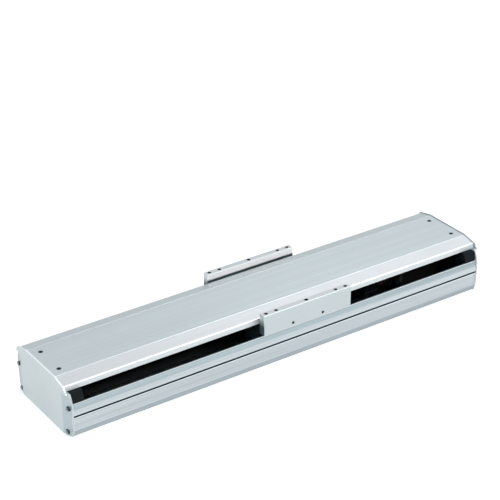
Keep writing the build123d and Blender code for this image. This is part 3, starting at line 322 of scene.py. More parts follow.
def handling_marks_group():
    """Soft clouds that handling leaves."""
    group, given, result = new_group(
        "handling marks",
        [("Scale", "NodeSocketFloat", cloud_scale), ("Amount", "NodeSocketFloat", 0.5)],
        [("Marks", "NodeSocketFloat")],
    )
    link = group.links.new
    place = new_node(group, "ShaderNodeTexCoord")
    clouds = new_node(group, "ShaderNodeTexNoise")
    set_inputs(clouds, Detail=5.0, Roughness=0.62, Distortion=0.4)
    picked = new_node(group, "ShaderNodeMapRange", interpolation_type="SMOOTHSTEP")
    set_inputs(picked, From_Min=0.42, From_Max=0.68)
    link(place.outputs["Object"], clouds.inputs["Vector"])
    link(given.outputs["Scale"], clouds.inputs["Scale"])
    link(clouds.outputs["Fac"], picked.inputs["Value"])
    marks = combine(group, "MULTIPLY", picked.outputs["Result"], given.outputs["Amount"])
    link(marks, result.inputs["Marks"])
    return group


def edge_highlight_and_wear_group():
    """Edges painted lighter, as a painted highlight and where the finish is thin or rubbed, found from how
    the surface turns.
    """
    group, given, result = new_group(
        "edge highlight and wear",
        [("Width", "NodeSocketFloat", 0.0008), ("Amount", "NodeSocketFloat", 0.8)],
        [("Edge", "NodeSocketFloat")],
    )
    link = group.links.new
    rounded = new_node(group, "ShaderNodeBevel", samples=4)
    surface = new_node(group, "ShaderNodeNewGeometry")
    facing = new_node(group, "ShaderNodeVectorMath", operation="DOT_PRODUCT")
    picked = new_node(group, "ShaderNodeMapRange", interpolation_type="SMOOTHSTEP")
    set_inputs(picked, From_Min=0.99, From_Max=0.90)
    link(given.outputs["Width"], rounded.inputs["Radius"])
    link(rounded.outputs["Normal"], facing.inputs[0])
    link(surface.outputs["True Normal"], facing.inputs[1])
    link(facing.outputs["Value"], picked.inputs["Value"])
    edge = combine(group, "MULTIPLY", picked.outputs["Result"], given.outputs["Amount"])
    link(edge, result.inputs["Edge"])
    return group


def under_limit_group():
    """What lies under a limit in one direction, alike on both sides of the body's two middle planes."""
    group, given, result = new_group(
        "under limit",
        [
            ("Direction", "NodeSocketVector", (0.0, 0.0, 1.0)),
            ("Limit", "NodeSocketFloat", 0.0),
            ("Fade", "NodeSocketFloat", tenth),
        ],
        [("Inside", "NodeSocketFloat")],
    )
    link = group.links.new
    place = new_node(group, "ShaderNodeTexCoord")
    mirrored = new_node(group, "ShaderNodeVectorMath", operation="ABSOLUTE")
    reach = new_node(group, "ShaderNodeVectorMath", operation="DOT_PRODUCT")
    link(place.outputs["Object"], mirrored.inputs[0])
    link(mirrored.outputs["Vector"], reach.inputs[0])
    link(given.outputs["Direction"], reach.inputs[1])
    inside = fade_inside(group, given.outputs["Limit"], reach.outputs["Value"], given.outputs["Fade"])
    link(inside, result.inputs["Inside"])
    return group


def round_place_group():
    """What lies within a radius of an axis, and of its twins across a middle point."""
    group, given, result = new_group(
        "round place",
        [
            ("Middle", "NodeSocketVector", (0.0, 0.0, 0.0)),
            ("Spread", "NodeSocketVector", (0.0, 0.0, 0.0)),
            ("Across", "NodeSocketVector", (1.0, 1.0, 0.0)),
            ("Radius", "NodeSocketFloat", 0.003),
            ("Fade", "NodeSocketFloat", tenth),
        ],
        [("Inside", "NodeSocketFloat")],
    )
    link = group.links.new
    reached = new_node(group, "ShaderNodeTexCoord").outputs["Object"]
    steps = (
        ("SUBTRACT", given.outputs["Middle"]),
        ("ABSOLUTE", None),
        ("SUBTRACT", given.outputs["Spread"]),
        ("MULTIPLY", given.outputs["Across"]),
        ("LENGTH", None),
    )
    for operation, other in steps:
        step = new_node(group, "ShaderNodeVectorMath", operation=operation)
        link(reached, step.inputs[0])
        if other is not None:
            link(other, step.inputs[1])
        reached = step.outputs["Value"] if operation == "LENGTH" else step.outputs["Vector"]
    inside = fade_inside(group, given.outputs["Radius"], reached, given.outputs["Fade"])
    link(inside, result.inputs["Inside"])
    return group


drawn_lines = drawn_lines_group()
fine_grain = fine_grain_group()
handling_marks = handling_marks_group()
edge_highlight_and_wear = edge_highlight_and_wear_group()
under_limit = under_limit_group()
round_place = round_place_group()


def joined(operation, masks):
    """One mask from several, each a function that builds its nodes in a tree."""

    def mask(tree):
        result = masks[0](tree)
        for other in masks[1:]:
            result = combine(tree, operation, result, other(tree))
        return result

    return mask


def both(*masks):
    """A zone of a finish: what lies in every one of these zones."""
    return joined("MULTIPLY", masks)


def either(*masks):
    """A zone of a finish: what lies in any of these zones."""
    return joined("MAXIMUM", masks)


def under_plane(direction, limit, fade=tenth):
    """A zone of a finish: what lies under a plane, given by a direction and a limit along it."""
    settings = {"Direction": direction, "Limit": limit, "Fade": fade}
    return lambda tree: place_group(tree, under_limit, **settings).outputs["Inside"]


def limits(fade=tenth, **sides):
    """A zone of a finish: what lies on the named side of every limit, such as y_over or z_under."""
    planes = []
    for name, limit in sides.items():
        axis, side = name.split("_")
        sign = 1 if side == "under" else -1
        direction = tuple(sign if axis == letter else 0 for letter in "xyz")
        planes.append(under_plane(direction, sign * limit, fade))
    return both(*planes)


def round_zone(radius, middle=(0, 0, 0), spread=(0, 0, 0), across=(1, 1, 0), fade=tenth):
    """A zone of a finish: a round place, with its twins across the middle where it has a spread."""
    settings = {"Radius": radius, "Middle": middle, "Spread": spread, "Across": across, "Fade": fade}
    return lambda tree: place_group(tree, round_place, **settings).outputs["Inside"]


def ring_zone(inner, outer, fade, **place):
    """A zone of a finish: what lies between two radii, with a fade at the inner one."""
    core = round_zone(inner, fade=fade, **place)
    return both(round_zone(outer, **place), lambda tree: combine(tree, "SUBTRACT", 1.0, core(tree)))


def half_spacings(mount):
    """Half the distance between a mount's holes along X and along Y, or 0 where they are in line."""
    return [mount["dims"].get(f"spacing_{side}_mm", 0.0) * millimetre / 2 for side in "xy"]


def hole_zone(mount_name, rim):
    """A zone of a finish: the holes of a mount, with a rim around each."""
    mount = mounts[mount_name]
    return round_zone(
        mount["dims"]["hole_r_mm"] * millimetre + rim,
        middle=mount["pos_m"],
        spread=(*half_spacings(mount), 0),
        across=[1 - abs(part) for part in mount["axis"]],
    )


def finish_with(
    name,
    colour,
    metallic,
    roughness,
    texture,
    edge=0.0,
    edge_width=8 * tenth,
    edge_gain=1.35,
    specular=0.5,
    shades=(),
    zones=(),
):
    """A finish: grain, clouds of handling, painted shade and light, lighter edges as painted highlight and
    wear, then zones that have their own finish, among them painted highlights and painted shade.
    """
    material = bpy.data.materials.new(name)
    material.use_nodes = True
    tree = material.node_tree
    tree.nodes.clear()
    shader = set_inputs(new_node(tree, "ShaderNodeBsdfPrincipled"), Specular_IOR_Level=specular)
    output = new_node(tree, "ShaderNodeOutputMaterial")
    tree.links.new(shader.outputs["BSDF"], output.inputs["Surface"])
    grain = place_group(tree, texture.group, **texture.settings)
    pattern = grain.outputs[texture.pattern]
    darker = rgba(colour, 1.0 - texture.contrast)
    lighter = rgba(colour, 1.0 + texture.contrast)
    tint = blend_colours(tree, pattern, darker, lighter)
    clouds = place_group(tree, handling_marks, Scale=cloud_scale, Amount=cloud_amount).outputs["Marks"]
    tint = blend_colours(tree, clouds, tint, rgba(colour, cloud_tint))
    for shade in shades:
        tint = shade_colour(tree, shade.mask(tree), tint, shade.factor)
    if edge > 0:
        rim = place_group(tree, edge_highlight_and_wear, Width=edge_width, Amount=edge)
        tint = blend_colours(tree, rim.outputs["Edge"], tint, rgba(colour, edge_gain))
    grain_gloss = spread_value(tree, pattern, roughness - grain_roughness, roughness + grain_roughness)
    gloss = combine(tree, "ADD", grain_gloss, spread_value(tree, clouds, 0.0, cloud_roughness))
    metal = metallic
    for zone in zones:
        inside = zone.mask(tree)
        tint = blend_colours(tree, inside, tint, rgba(zone.colour))
        gloss = blend_values(tree, inside, gloss, zone.roughness)
        if zone.metallic != metallic:
            metal = blend_values(tree, inside, metal, zone.metallic)
    feed(tree, metal, shader.inputs["Metallic"])
    tree.links.new(tint, shader.inputs["Base Color"])
    tree.links.new(gloss, shader.inputs["Roughness"])
    tree.links.new(grain.outputs["Normal"], shader.inputs["Normal"])
    return material


def lines(along, across, bands, depth, contrast=0.05):
    """Drawn or ground lines: how often they change along X and across it, per metre."""
    settings = {"Along": along, "Across": across, "Bands": bands, "Depth": depth}
    return Texture(drawn_lines, "Lines", settings, contrast)


def grained(scale, depth, contrast=0.04):
    """Even grain: how often it changes per metre, and how deep it is."""
    return Texture(fine_grain, "Grain", {"Scale": scale, "Depth": depth}, contrast)


def anodised_extrusion():
    """The base: lines of the die, painted shade on the foot, lower side and ledge, painted highlights on the
    lip's edge and under the groove, and painted shade in the channels, on the lip's top, in the grooves and
    holes.
    """
    channel = limits(
        y_under=lip_inner - tenth,
        z_under=lip_height - 3 * tenth,
        z_over=channel_floor - 2 * tenth,
    )
    groove = limits(
        y_over=side_skin,
        y_under=sensor_groove_front,
        z_over=sensor_groove_height - cavity_half_height - tenth,
        z_under=sensor_groove_height + cavity_half_height + tenth,
    )
    groove_mouth = limits(
        y_over=side_skin,
        z_over=sensor_groove_height - mouth_half_height - 2 * tenth,
        z_under=sensor_groove_height + mouth_half_height + 2 * tenth,
    )
    groove_lip = limits(
        y_over=sensor_groove_front - 4 * tenth,
        z_over=sensor_groove_height - cavity_half_height,
        z_under=sensor_groove_height - mouth_half_height + 2 * tenth,
        fade=4 * tenth,
    )
    foot = limits(y_over=side_skin, z_under=foot_top + 2 * tenth, fade=8 * tenth)
    low_side = both(
        limits(z_over=foot_top - 2 * tenth, fade=8 * tenth),
        limits(z_under=sensor_groove_height - 2 * millimetre),
    )
    ledge = limits(y_over=lip_inner, z_over=ledge_height + 2 * tenth, fade=3 * tenth)
    lip_edge = limits(y_over=lip_outer - 8 * tenth, z_over=lip_height - 11 * tenth, fade=3 * tenth)
    lip_top = limits(
        y_over=lip_inner - 2 * tenth,
        y_under=lip_outer - 7 * tenth,
        z_over=lip_height - 15 * tenth,
    )
    low_holes = either(hole_zone("base_holes_outer", rim=tenth), hole_zone("base_holes_inner", rim=tenth))
    return finish_with(
        "anodised extrusion",
        colour=(0.60, 0.665, 0.695),
        metallic=0.75,
        roughness=0.34,
        texture=lines(along=1.3, across=600.0, bands=0.35, depth=0.16, contrast=0.20),
        edge=0.8,
        edge_gain=1.5,
        # Painted shade: the foot, the lower side and the ledge darker; painted highlight: a lighter line
        # under the sensor groove
        shades=(
            Shade(foot, (0.70, 0.72, 0.735)),
            Shade(low_side, (0.97, 0.955, 0.945)),
            Shade(ledge, (0.84, 0.905, 0.92)),
            Shade(groove_lip, (1.45, 1.45, 1.43)),
        ),
        # A painted highlight on the lip's edge; painted shade on the lip's top, in the channel, in the
        # sensor groove and its mouth, and in the holes
        zones=(
            Zone(lip_edge, painted_highlight_white, metallic=0.75, roughness=0.30),
            Zone(lip_top, (0.20, 0.34, 0.38), metallic=0.5, roughness=0.40),
            Zone(channel, painted_inside_shade, metallic=0.2, roughness=0.55),
            Zone(groove, (0.004, 0.042, 0.060), metallic=0.0, roughness=0.6),
            Zone(groove_mouth, (0.006, 0.060, 0.082), metallic=0.0, roughness=0.6),
            Zone(low_holes, painted_hole_shade, metallic=0.4, roughness=0.45),
        ),
    )


def shoulder_of_cover(side):
    """The cover's sloping strip, on the rear side (1) or the front side (-1)."""
    middle = (0, side * (cover_crease + shoulder_width / 2), 0)
    strip = round_zone(
        shoulder_width / 2 + 5 * tenth, middle=middle, across=(0, 1, 0), fade=millimetre
    )
    return both(strip, limits(z_over=cover_edge - 19 * tenth))


def brushed_cover():
    """The cover: brushed lines, shoulders painted lighter and tinted as painted light, sides painted pale as
    painted light, bent edges painted white as highlights, a rear crease without that highlight, and an
    underside painted dark as shade.
    """
    slope = (cover_crest - cover_edge) / shoulder_width
    underside = both(
        limits(y_under=cover_side - cover_half_thickness, z_under=cover_crest - cover_half_thickness),
        under_plane((0, slope, 1), cover_crest + slope * cover_crease - cover_half_thickness),
    )
    lip = limits(y_under=cover_side + millimetre, z_under=cover_lip + 2 * tenth)
    side = limits(y_over=cover_side - 5 * tenth, z_under=cover_edge - 12 * tenth, fade=5 * tenth)
    bent_edge = limits(y_over=cover_side - 24 * tenth, z_over=cover_edge - 16 * tenth, fade=7 * tenth)
    rear_crease = round_zone(
        16 * tenth, middle=(0, cover_crease, cover_crest), across=(0, 1, 1), fade=3 * tenth
    )
    return finish_with(
        "brushed cover",
        colour=(0.545, 0.61, 0.635),
        metallic=0.75,
        roughness=0.34,
        texture=lines(along=2.0, across=760.0, bands=0.35, depth=0.12, contrast=0.08),
        edge=0.7,
        edge_gain=1.5,
        # Painted light: the shoulders lighter and tinted for the light that falls on them
        shades=(
            Shade(shoulder_of_cover(1), (1.07, 1.06, 1.05)),
            Shade(shoulder_of_cover(-1), (1.045, 0.985, 0.985)),
        ),
        # The rear crease in plain cover colour without the painted edge highlight; the sides painted pale as
        # painted light; a painted highlight on the bent edge; painted shade on the underside and lip
        zones=(
            Zone(rear_crease, (0.54, 0.60, 0.625), metallic=0.75, roughness=0.34),
            Zone(side, (0.83, 0.90, 0.915), metallic=0.25, roughness=0.5),
            Zone(bent_edge, painted_highlight_white, metallic=0.75, roughness=0.25),
            Zone(either(underside, lip), (0.015, 0.035, 0.040), metallic=0.2, roughness=0.5),
        ),
    )


def satin_end_plate(name, painted_rim_light):
    """An end plate: blasted, with cut corners painted darker as shade, a top rim painted in a given light,
    and an inner face, spot faces and earth hole painted dark as shade.
    """
    corner = limits(
        x_over=plate_inner + tenth,
        x_under=plate_outer - 3 * tenth,
        y_over=plate_corner_cut - 5 * tenth,
    )
    top_rim = limits(
        x_over=plate_outer - plate_rim_thickness - 3 * tenth,
        x_under=plate_outer - tenth,
        z_over=plate_shoulder_height,
    )
    inner_face = limits(x_under=plate_inner + tenth, y_under=end_block_side, z_over=millimetre)
    earth_hole = both(
        round_zone(earth_hole_radius, middle=earth_hole_place, across=(0, 1, 1)),
        limits(x_over=plate_outer - 4 * tenth),
    )
    spot_faces = [
        round_zone(spot_face_radius, fade=6 * tenth, **place) for place in (low_screws, high_screws)
    ]
    return finish_with(
        name,
        colour=(0.62, 0.685, 0.70),
        metallic=0.70,
        roughness=0.38,
        texture=grained(scale=1600.0, depth=0.10, contrast=0.03),
        edge=1.0,
        edge_width=14 * tenth,
        edge_gain=1.5,
        # Painted shade on the cut corners, the inner face, the spot faces and the earth hole; the top rim
        # painted in the given light
        shades=(Shade(corner, (0.80, 0.84, 0.87)),),
        zones=(
            Zone(top_rim, painted_rim_light, metallic=0.70, roughness=0.34),
            Zone(inner_face, (0.05, 0.085, 0.09), metallic=0.3, roughness=0.5),
            Zone(either(*spot_faces, earth_hole), painted_hole_shade, metallic=0.3, roughness=0.5),
        ),
    )


def satin_wing():
    """A wing: fine lines, tops painted darker and inner faces painted lighter as painted light, ends, bores
    and faces behind the cover painted dark as shade, and a foot painted dark as the shade of the slot.
    """
    top_holes = either(
        hole_zone("table_holes_outer", rim=7 * tenth),
        hole_zone("table_holes_inner", rim=7 * tenth),
        hole_zone("table_locating_holes", rim=4 * tenth),
    )
    side_holes = both(
        hole_zone("side_holes_rear", rim=5 * tenth),
        limits(y_over=wing_inner + 5 * tenth, y_under=wing_outer + 2 * tenth),
    )
    top_face = limits(z_over=wing_top_height - 6 * tenth, fade=3 * tenth)
    inner_face = limits(y_under=wing_inner + 3 * tenth, z_over=wing_dark_height, fade=3 * tenth)
    behind_cover = limits(y_under=wing_inner + 3 * tenth, z_under=wing_dark_height, fade=3 * tenth)
    shaded_wing_ends = both(
        round_zone(
            9 * tenth, middle=(table_middle, 0, 0), spread=(wing_half_length, 0, 0), across=(1, 0, 0)
        ),
        limits(z_under=wing_end_dark_height, fade=wing_end_fade),
    )
    feet = limits(y_under=wing_inner - tenth, z_under=wing_foot_dark_height)
    return finish_with(
        "satin wing",
        colour=(0.60, 0.665, 0.685),
        metallic=0.70,
        roughness=0.38,
        texture=lines(along=5.0, across=1100.0, bands=0.3, depth=0.08, contrast=0.035),
        edge=0.9,
        edge_gain=1.5,
        # Painted light: the tops darker and the inner faces lighter for the light that falls on them
        shades=(
            Shade(top_face, (0.92, 0.88, 0.89)),
            Shade(inner_face, (1.47, 1.28, 1.25)),
        ),
        # Painted shade on the ends below the cover, on the faces behind the cover, on the feet in the slot,
        # and in the bores with a rim around each
        zones=(
            Zone(shaded_wing_ends, (0.045, 0.080, 0.095), metallic=0.0, roughness=0.6),
            Zone(behind_cover, (0.05, 0.09, 0.10), metallic=0.3, roughness=0.5),
            Zone(feet, painted_inside_shade, metallic=0.2, roughness=0.5),
            Zone(either(top_holes, side_holes), painted_bore_shade, metallic=0.0, roughness=0.6),
        ),
    )


def tapped_thread():
    # Near-black as painted shade inside the holes
    return finish_with(
        "tapped thread",
        colour=(0.020, 0.030, 0.032),
        metallic=0.4,
        roughness=0.42,
        texture=grained(scale=2500.0, depth=0.1),
        edge=0.5,
    )


def dark_casting():
    return finish_with(
        "dark casting",
        colour=(0.005, 0.009, 0.011),
        metallic=0.0,
        roughness=0.60,
        texture=grained(scale=700.0, depth=0.3, contrast=0.15),
        edge=0.3,
        specular=0.15,
    )


def milled_table():
    # Near-black as painted shade, for the dark under the cover
    return finish_with(
        "hard anodised table",
        colour=(0.030, 0.038, 0.042),
        metallic=0.35,
        roughness=0.40,
        texture=lines(along=60.0, across=900.0, bands=0.4, depth=0.1, contrast=0.12),
        edge=0.4,
    )


def ground_rail():
    # Darker steel as painted shade inside the body
    return finish_with(
        "ground rail",
        colour=(0.16, 0.175, 0.18),
        metallic=0.95,
        roughness=0.24,
        texture=lines(along=2.0, across=2500.0, bands=0.3, depth=0.08),
        edge=0.3,
    )


def shaded_block_steel():
    # Darker steel as painted shade inside the body
    return finish_with(
        "oiled block steel",
        colour=(0.13, 0.14, 0.145),
        metallic=0.95,
        roughness=0.30,
        texture=lines(along=5.0, across=1500.0, bands=0.4, depth=0.08),
        edge=0.4,
    )


def moulded_cap():
    return finish_with(
        "moulded end cap",
        colour=(0.012, 0.035, 0.040),
        metallic=0.0,
        roughness=0.45,
        texture=grained(scale=1000.0, depth=0.2, contrast=0.1),
    )


def ground_thread():
    return finish_with(
        "ground thread",
        colour=(0.22, 0.235, 0.24),
        metallic=0.95,
        roughness=0.20,
        texture=lines(along=500.0, across=500.0, bands=0.3, depth=0.06),
        edge=0.3,
    )


def bearing_steel():
    return finish_with(
        "bearing steel",
        colour=(0.42, 0.43, 0.44),
        metallic=0.95,
        roughness=0.24,
        texture=grained(scale=1200.0, depth=0.05),
    )


def nut_steel():
    return finish_with(
        "nut steel",
        colour=(0.22, 0.225, 0.23),
        metallic=0.95,
        roughness=0.28,
        texture=grained(scale=1200.0, depth=0.08),
        edge=0.4,
    )


def plated_screw():
    """Cap screws: bright plated, with painted shade in their sockets and a painted shadow down the sides of
    the end plates' heads.
    """
    head_sides = [
        ring_zone(head_ring_inner, head_ring_outer, fade=3 * tenth, **place)
        for place in (low_screws, high_screws)
    ]
    sockets = both(
        either(round_zone(socket_radius, **low_screws), round_zone(socket_radius, **high_screws)),
        limits(x_under=plate_outer - 15 * tenth),
    )
    return finish_with(
        "plated screw",
        colour=(0.66, 0.70, 0.72),
        metallic=0.90,
        roughness=0.26,
        texture=grained(scale=2200.0, depth=0.08),
        edge=0.6,
        edge_width=4 * tenth,
        zones=(
            Zone(either(*head_sides), (0.06, 0.10, 0.11), metallic=0.5, roughness=0.4),
            Zone(sockets, painted_hole_shade, metallic=0.4, roughness=0.4),
        ),
    )


def cover_screw():
    """The cover's countersunk screws, dark over their heads."""
    head = round_zone(cover_screw_head_radius, spread=cover_screw_spread, fade=3 * tenth)
    return finish_with(
        "dark cover screw",
        colour=(0.42, 0.46, 0.475),
        metallic=0.85,
        roughness=0.30,
        texture=grained(scale=2200.0, depth=0.08),
        edge=0.6,
        edge_width=4 * tenth,
        zones=(Zone(head, (0.012, 0.020, 0.022), metallic=0.2, roughness=0.5),),
    )


def black_bolt():
    return finish_with(
        "black bolt",
        colour=(0.020, 0.020, 0.022),
        metallic=0.6,
        roughness=0.42,
        texture=grained(scale=1500.0, depth=0.15, contrast=0.1),
    )


def turned_hub():
    return finish_with(
        "turned hub",
        colour=(0.46, 0.47, 0.49),
        metallic=0.9,
        roughness=0.30,
        texture=lines(along=900.0, across=60.0, bands=0.3, depth=0.1),
        edge=0.5,
    )


def spider_rubber():
    return finish_with(
        "spider rubber",
        colour=(0.42, 0.035, 0.02),
        metallic=0.0,
        roughness=0.55,
        texture=grained(scale=900.0, depth=0.2, contrast=0.08),
    )


def bumper_rubber():
    return finish_with(
        "bumper rubber",
        colour=(0.012, 0.012, 0.012),
        metallic=0.0,
        roughness=0.70,
        texture=grained(scale=900.0, depth=0.3, contrast=0.15),
    )


def motor_black():
    """The motor: black painted, with a bare flange."""
    flange = limits(x_under=motor_flange_end + tenth)
    return finish_with(
        "motor black",
        colour=(0.016, 0.016, 0.018),
        metallic=0.3,
        roughness=0.45,
        texture=grained(scale=1100.0, depth=0.25, contrast=0.12),
        edge=0.2,
        zones=(Zone(flange, (0.36, 0.375, 0.385), metallic=0.9, roughness=0.36),),
    )


def sensor_plastic():
    return finish_with(
        "sensor plastic",
        colour=(0.02, 0.025, 0.03),
        metallic=0.0,
        roughness=0.40,
        texture=grained(scale=1300.0, depth=0.15, contrast=0.1),
    )


def nickel_connector():
    """A panel connector: nickel shell, black insert and gilt pins."""
    port_x, port_y, port_z = port_place
    insert_face = port_x - barrel_depth
    insert = both(
        round_zone(barrel_bore_radius, middle=(0, 0, port_z), spread=(0, port_y, 0), across=(0, 1, 1)),
        limits(x_over=insert_face),
    )
    pins = both(insert, limits(x_over=insert_face + 1.5 * tenth))
    return finish_with(
        "nickel connector",
        colour=(0.56, 0.55, 0.52),
        metallic=1.0,
        roughness=0.22,
        texture=grained(scale=1500.0, depth=0.05),
        edge=0.3,
        zones=(
            Zone(insert, (0.015, 0.015, 0.016), metallic=0.0, roughness=0.45),
            Zone(pins, (0.62, 0.42, 0.14), metallic=1.0, roughness=0.25),
        ),
    )


def pressed_dog():
    return finish_with(
        "pressed dog",
        colour=(0.40, 0.40, 0.41),
        metallic=0.9,
        roughness=0.32,
        texture=lines(along=300.0, across=300.0, bands=0.3, depth=0.06),
        edge=0.4,
    )


finishes = {
    "anodised_base": anodised_extrusion(),
    "cover_skin": brushed_cover(),
    # The rim painted white-blue as a highlight
    "end_plate_metal": satin_end_plate("satin end plate", painted_rim_light=(0.90, 0.98, 1.0)),
    "wing_metal": satin_wing(),
    "dark_casting": dark_casting(),
    "table_metal": milled_table(),
    "rail_steel": ground_rail(),
    "block_steel": shaded_block_steel(),
    "end_cap_plastic": moulded_cap(),
    "ball_screw_steel": ground_thread(),
    "bearing_steel": bearing_steel(),
    "nut_steel": nut_steel(),
    "screw_steel": plated_screw(),
    "bolt_black": black_bolt(),
    "hub_aluminium": turned_hub(),
    "spider_rubber": spider_rubber(),
    "bumper_rubber": bumper_rubber(),
    "motor_black": motor_black(),
    "sensor_plastic": sensor_plastic(),
    "connector_shell": nickel_connector(),
    "dog_steel": pressed_dog(),
}
own_finishes = {
    "top_cover_screws": cover_screw(),
    # The same end plate finish, its rim painted dark as a reflection
    "end_plate_right": satin_end_plate("satin end plate with a painted dark rim", painted_rim_light=(0.34, 0.38, 0.40)),
}
thread_finish = tapped_thread()


def dress_frame():
    """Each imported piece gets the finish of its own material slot, or one of its own."""
    for entry in frame["record"]["subparts"]:
        name = entry["node"]
        materials = nodes[name].data.materials
        materials.clear()
        materials.append(own_finishes.get(name) or finishes[entry["material_slot"]])


def add_piece(name, work, body, material):
    """A new piece of the part from a finished bmesh; it rides on a body and has a slot for its finish."""
    bmesh.ops.recalc_face_normals(work, faces=work.faces)
    mesh = bpy.data.meshes.new(name)
    work.to_mesh(mesh)
    work.free()
    mesh.materials.append(material)
    piece = bpy.data.objects.new(name, mesh)
    bpy.context.scene.collection.objects.link(piece)
    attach(piece, body)
    return piece


def on_screw_axis(work, x, reach, angle):
    """A new vertex at a distance and an angle around the ball screw's axis."""
    return work.verts.new((x, reach * math.cos(angle), screw_axis_height + reach * math.sin(angle)))


def turn_journal(work, outline):
    """A closed turned end of the ball screw, from its places along the axis and their radii."""
    angles = [step * math.tau / journal_steps for step in range(journal_steps)]
    rings = [[on_screw_axis(work, x, radius, angle) for angle in angles] for x, radius in outline]
    for first, second in zip(rings, rings[1:]):
        for step in range(journal_steps):
            after = (step + 1) % journal_steps
            work.faces.new((first[step], first[after], second[after], second[step])).smooth = True
    for ring in (rings[0], rings[-1]):
        work.faces.new(ring)


def cut_thread(work, start, end, radius):
    """The threaded length, on a grid that follows the two ball grooves, cut square at both ends."""
    pitch = thread_lead / thread_starts
    first = start - thread_lead - pitch
    rows = int((end - first + pitch) / pitch * thread_pitch_steps)
    grid = []
    for row in range(rows + 1):
        phase = (row % thread_pitch_steps) / thread_pitch_steps
        inside = abs(phase - 0.5) / (ball_groove_share / 2)
        reach = radius - ball_groove_depth * math.sqrt(max(0.0, 1.0 - inside * inside))
        ring = []
        for step in range(thread_turn_steps):
            angle = step * math.tau / thread_turn_steps
            x = first + row * pitch / thread_pitch_steps + thread_lead * step / thread_turn_steps
            ring.append(on_screw_axis(work, x, reach, angle))
        grid.append(ring)
    rows_per_turn = thread_pitch_steps * thread_starts
    for row in range(rows):
        for step in range(thread_turn_steps):
            after, beside = step + 1, row
            if after == thread_turn_steps:
                after, beside = 0, row + rows_per_turn
            if beside < rows:
                near, far = grid[beside][after], grid[beside + 1][after]
                work.faces.new((grid[row][step], near, far, grid[row + 1][step])).smooth = True
    for place, outwards in ((start, -1), (end, 1)):
        cut = bmesh.ops.bisect_plane(
            work,
            geom=[*work.verts, *work.edges, *work.faces],
            dist=1e-7,
            plane_co=(place, 0, 0),
            plane_no=(outwards, 0, 0),
            clear_outer=True,
        )
        rim = [part for part in cut["geom_cut"] if isinstance(part, bmesh.types.BMEdge)]
        bmesh.ops.contextual_create(work, geom=rim)


def threaded_ball_screw():
    """The ball screw with its ball grooves and the journals at both ends."""
    low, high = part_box("ball_screw")
    radius = (high.z - low.z) / 2
    thread_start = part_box("support_bearing_block")[1].x + support_block_gap
    thread_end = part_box("fixed_bearing_pair")[0].x - bearing_gap
    locknut_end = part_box("locknut")[1].x
    work = bmesh.new()
    cut_thread(work, thread_start, thread_end, radius)
    turn_journal(
        work,
        (
            (low.x, support_journal - journal_edge),
            (low.x + journal_edge, support_journal),
            (thread_start + journal_overlap, support_journal),
        ),
    )
    turn_journal(
        work,
        (
            (thread_end - journal_overlap, bearing_journal),
            (locknut_end, bearing_journal),
            (locknut_end, coupling_journal),
            (high.x - journal_edge, coupling_journal),
            (high.x, coupling_journal - journal_edge),
        ),
    )
    screw = add_piece("ball_screw_thread", work, "screw", finishes["ball_screw_steel"])
    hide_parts("ball_screw")


def hole_places(mount):
    """Mouths of a mount's holes, from its middle and spacings."""
    half_x, half_y = half_spacings(mount)
    across = sorted({-half_x, half_x})
    along = sorted({-half_y, half_y})
    return [Vector(mount["pos_m"]) + Vector((x, y, 0)) for x in across for y in along]


def tapped_coil(work, mouth, inward, radius, pitch):
    """One hole's thread as a closed ridge that winds down its wall."""
    side = inward.orthogonal().normalized()
    other = inward.cross(side)
    crest = radius - ridge_height * radius
    foot = ridge_half_width * pitch
    sections = []
    for step in range(int(tapped_depth / pitch * tapped_steps) + 1):
        angle = step * math.tau / tapped_steps
        turned = side * math.cos(angle) + other * math.sin(angle)
        sunk = pitch * (1.0 + step / tapped_steps)
        section = ((radius, sunk - foot), (crest, sunk), (radius, sunk + foot))
        sections.append([work.verts.new(mouth + turned * reach + inward * down) for reach, down in section])
    for first, second in zip(sections, sections[1:]):
        for corner in range(3):
            after = (corner + 1) % 3
            work.faces.new((first[corner], first[after], second[after], second[corner]))
    work.faces.new(sections[0])
    work.faces.new(sections[-1])


def tapped_holes(name, body, rows, side=0):
    """The threads of several mounts' holes as one piece: all of them, or those on one side of the body."""
    work = bmesh.new()
    for mount_name, pitch in rows:
        mount = mounts[mount_name]
        inward = -Vector(mount["axis"])
        radius = mount["dims"]["hole_r_mm"] * millimetre
        for mouth in hole_places(mount):
            if mouth.y * side >= 0:
                tapped_coil(work, mouth, inward, radius, pitch)
    add_piece(name, work, body, thread_finish)


def thread_tapped_holes():
    """Threads in the holes of both wings and of the base."""
    for word, side in (("front", -1), ("rear", 1)):
        tapped_holes(
            f"wing_{word}_threads",
            "carriage",
            (
                ("table_holes_outer", coarse_pitch),
                ("table_holes_inner", coarse_pitch),
                (f"side_holes_{word}", fine_pitch),
            ),
            side=side,
        )
    tapped_holes(
        "base_hole_threads",
        "base",
        (("base_holes_outer", coarse_pitch), ("base_holes_inner", coarse_pitch)),
    )


def seen_plainly(tree):
    """1 for what the camera sees straight, in gloss or through glass, else 0."""
    path = new_node(tree, "ShaderNodeLightPath")
    seen = combine(tree, "MAXIMUM", path.outputs["Is Camera Ray"], path.outputs["Is Glossy Ray"])
    return combine(tree, "MAXIMUM", seen, path.outputs["Is Transmission Ray"])


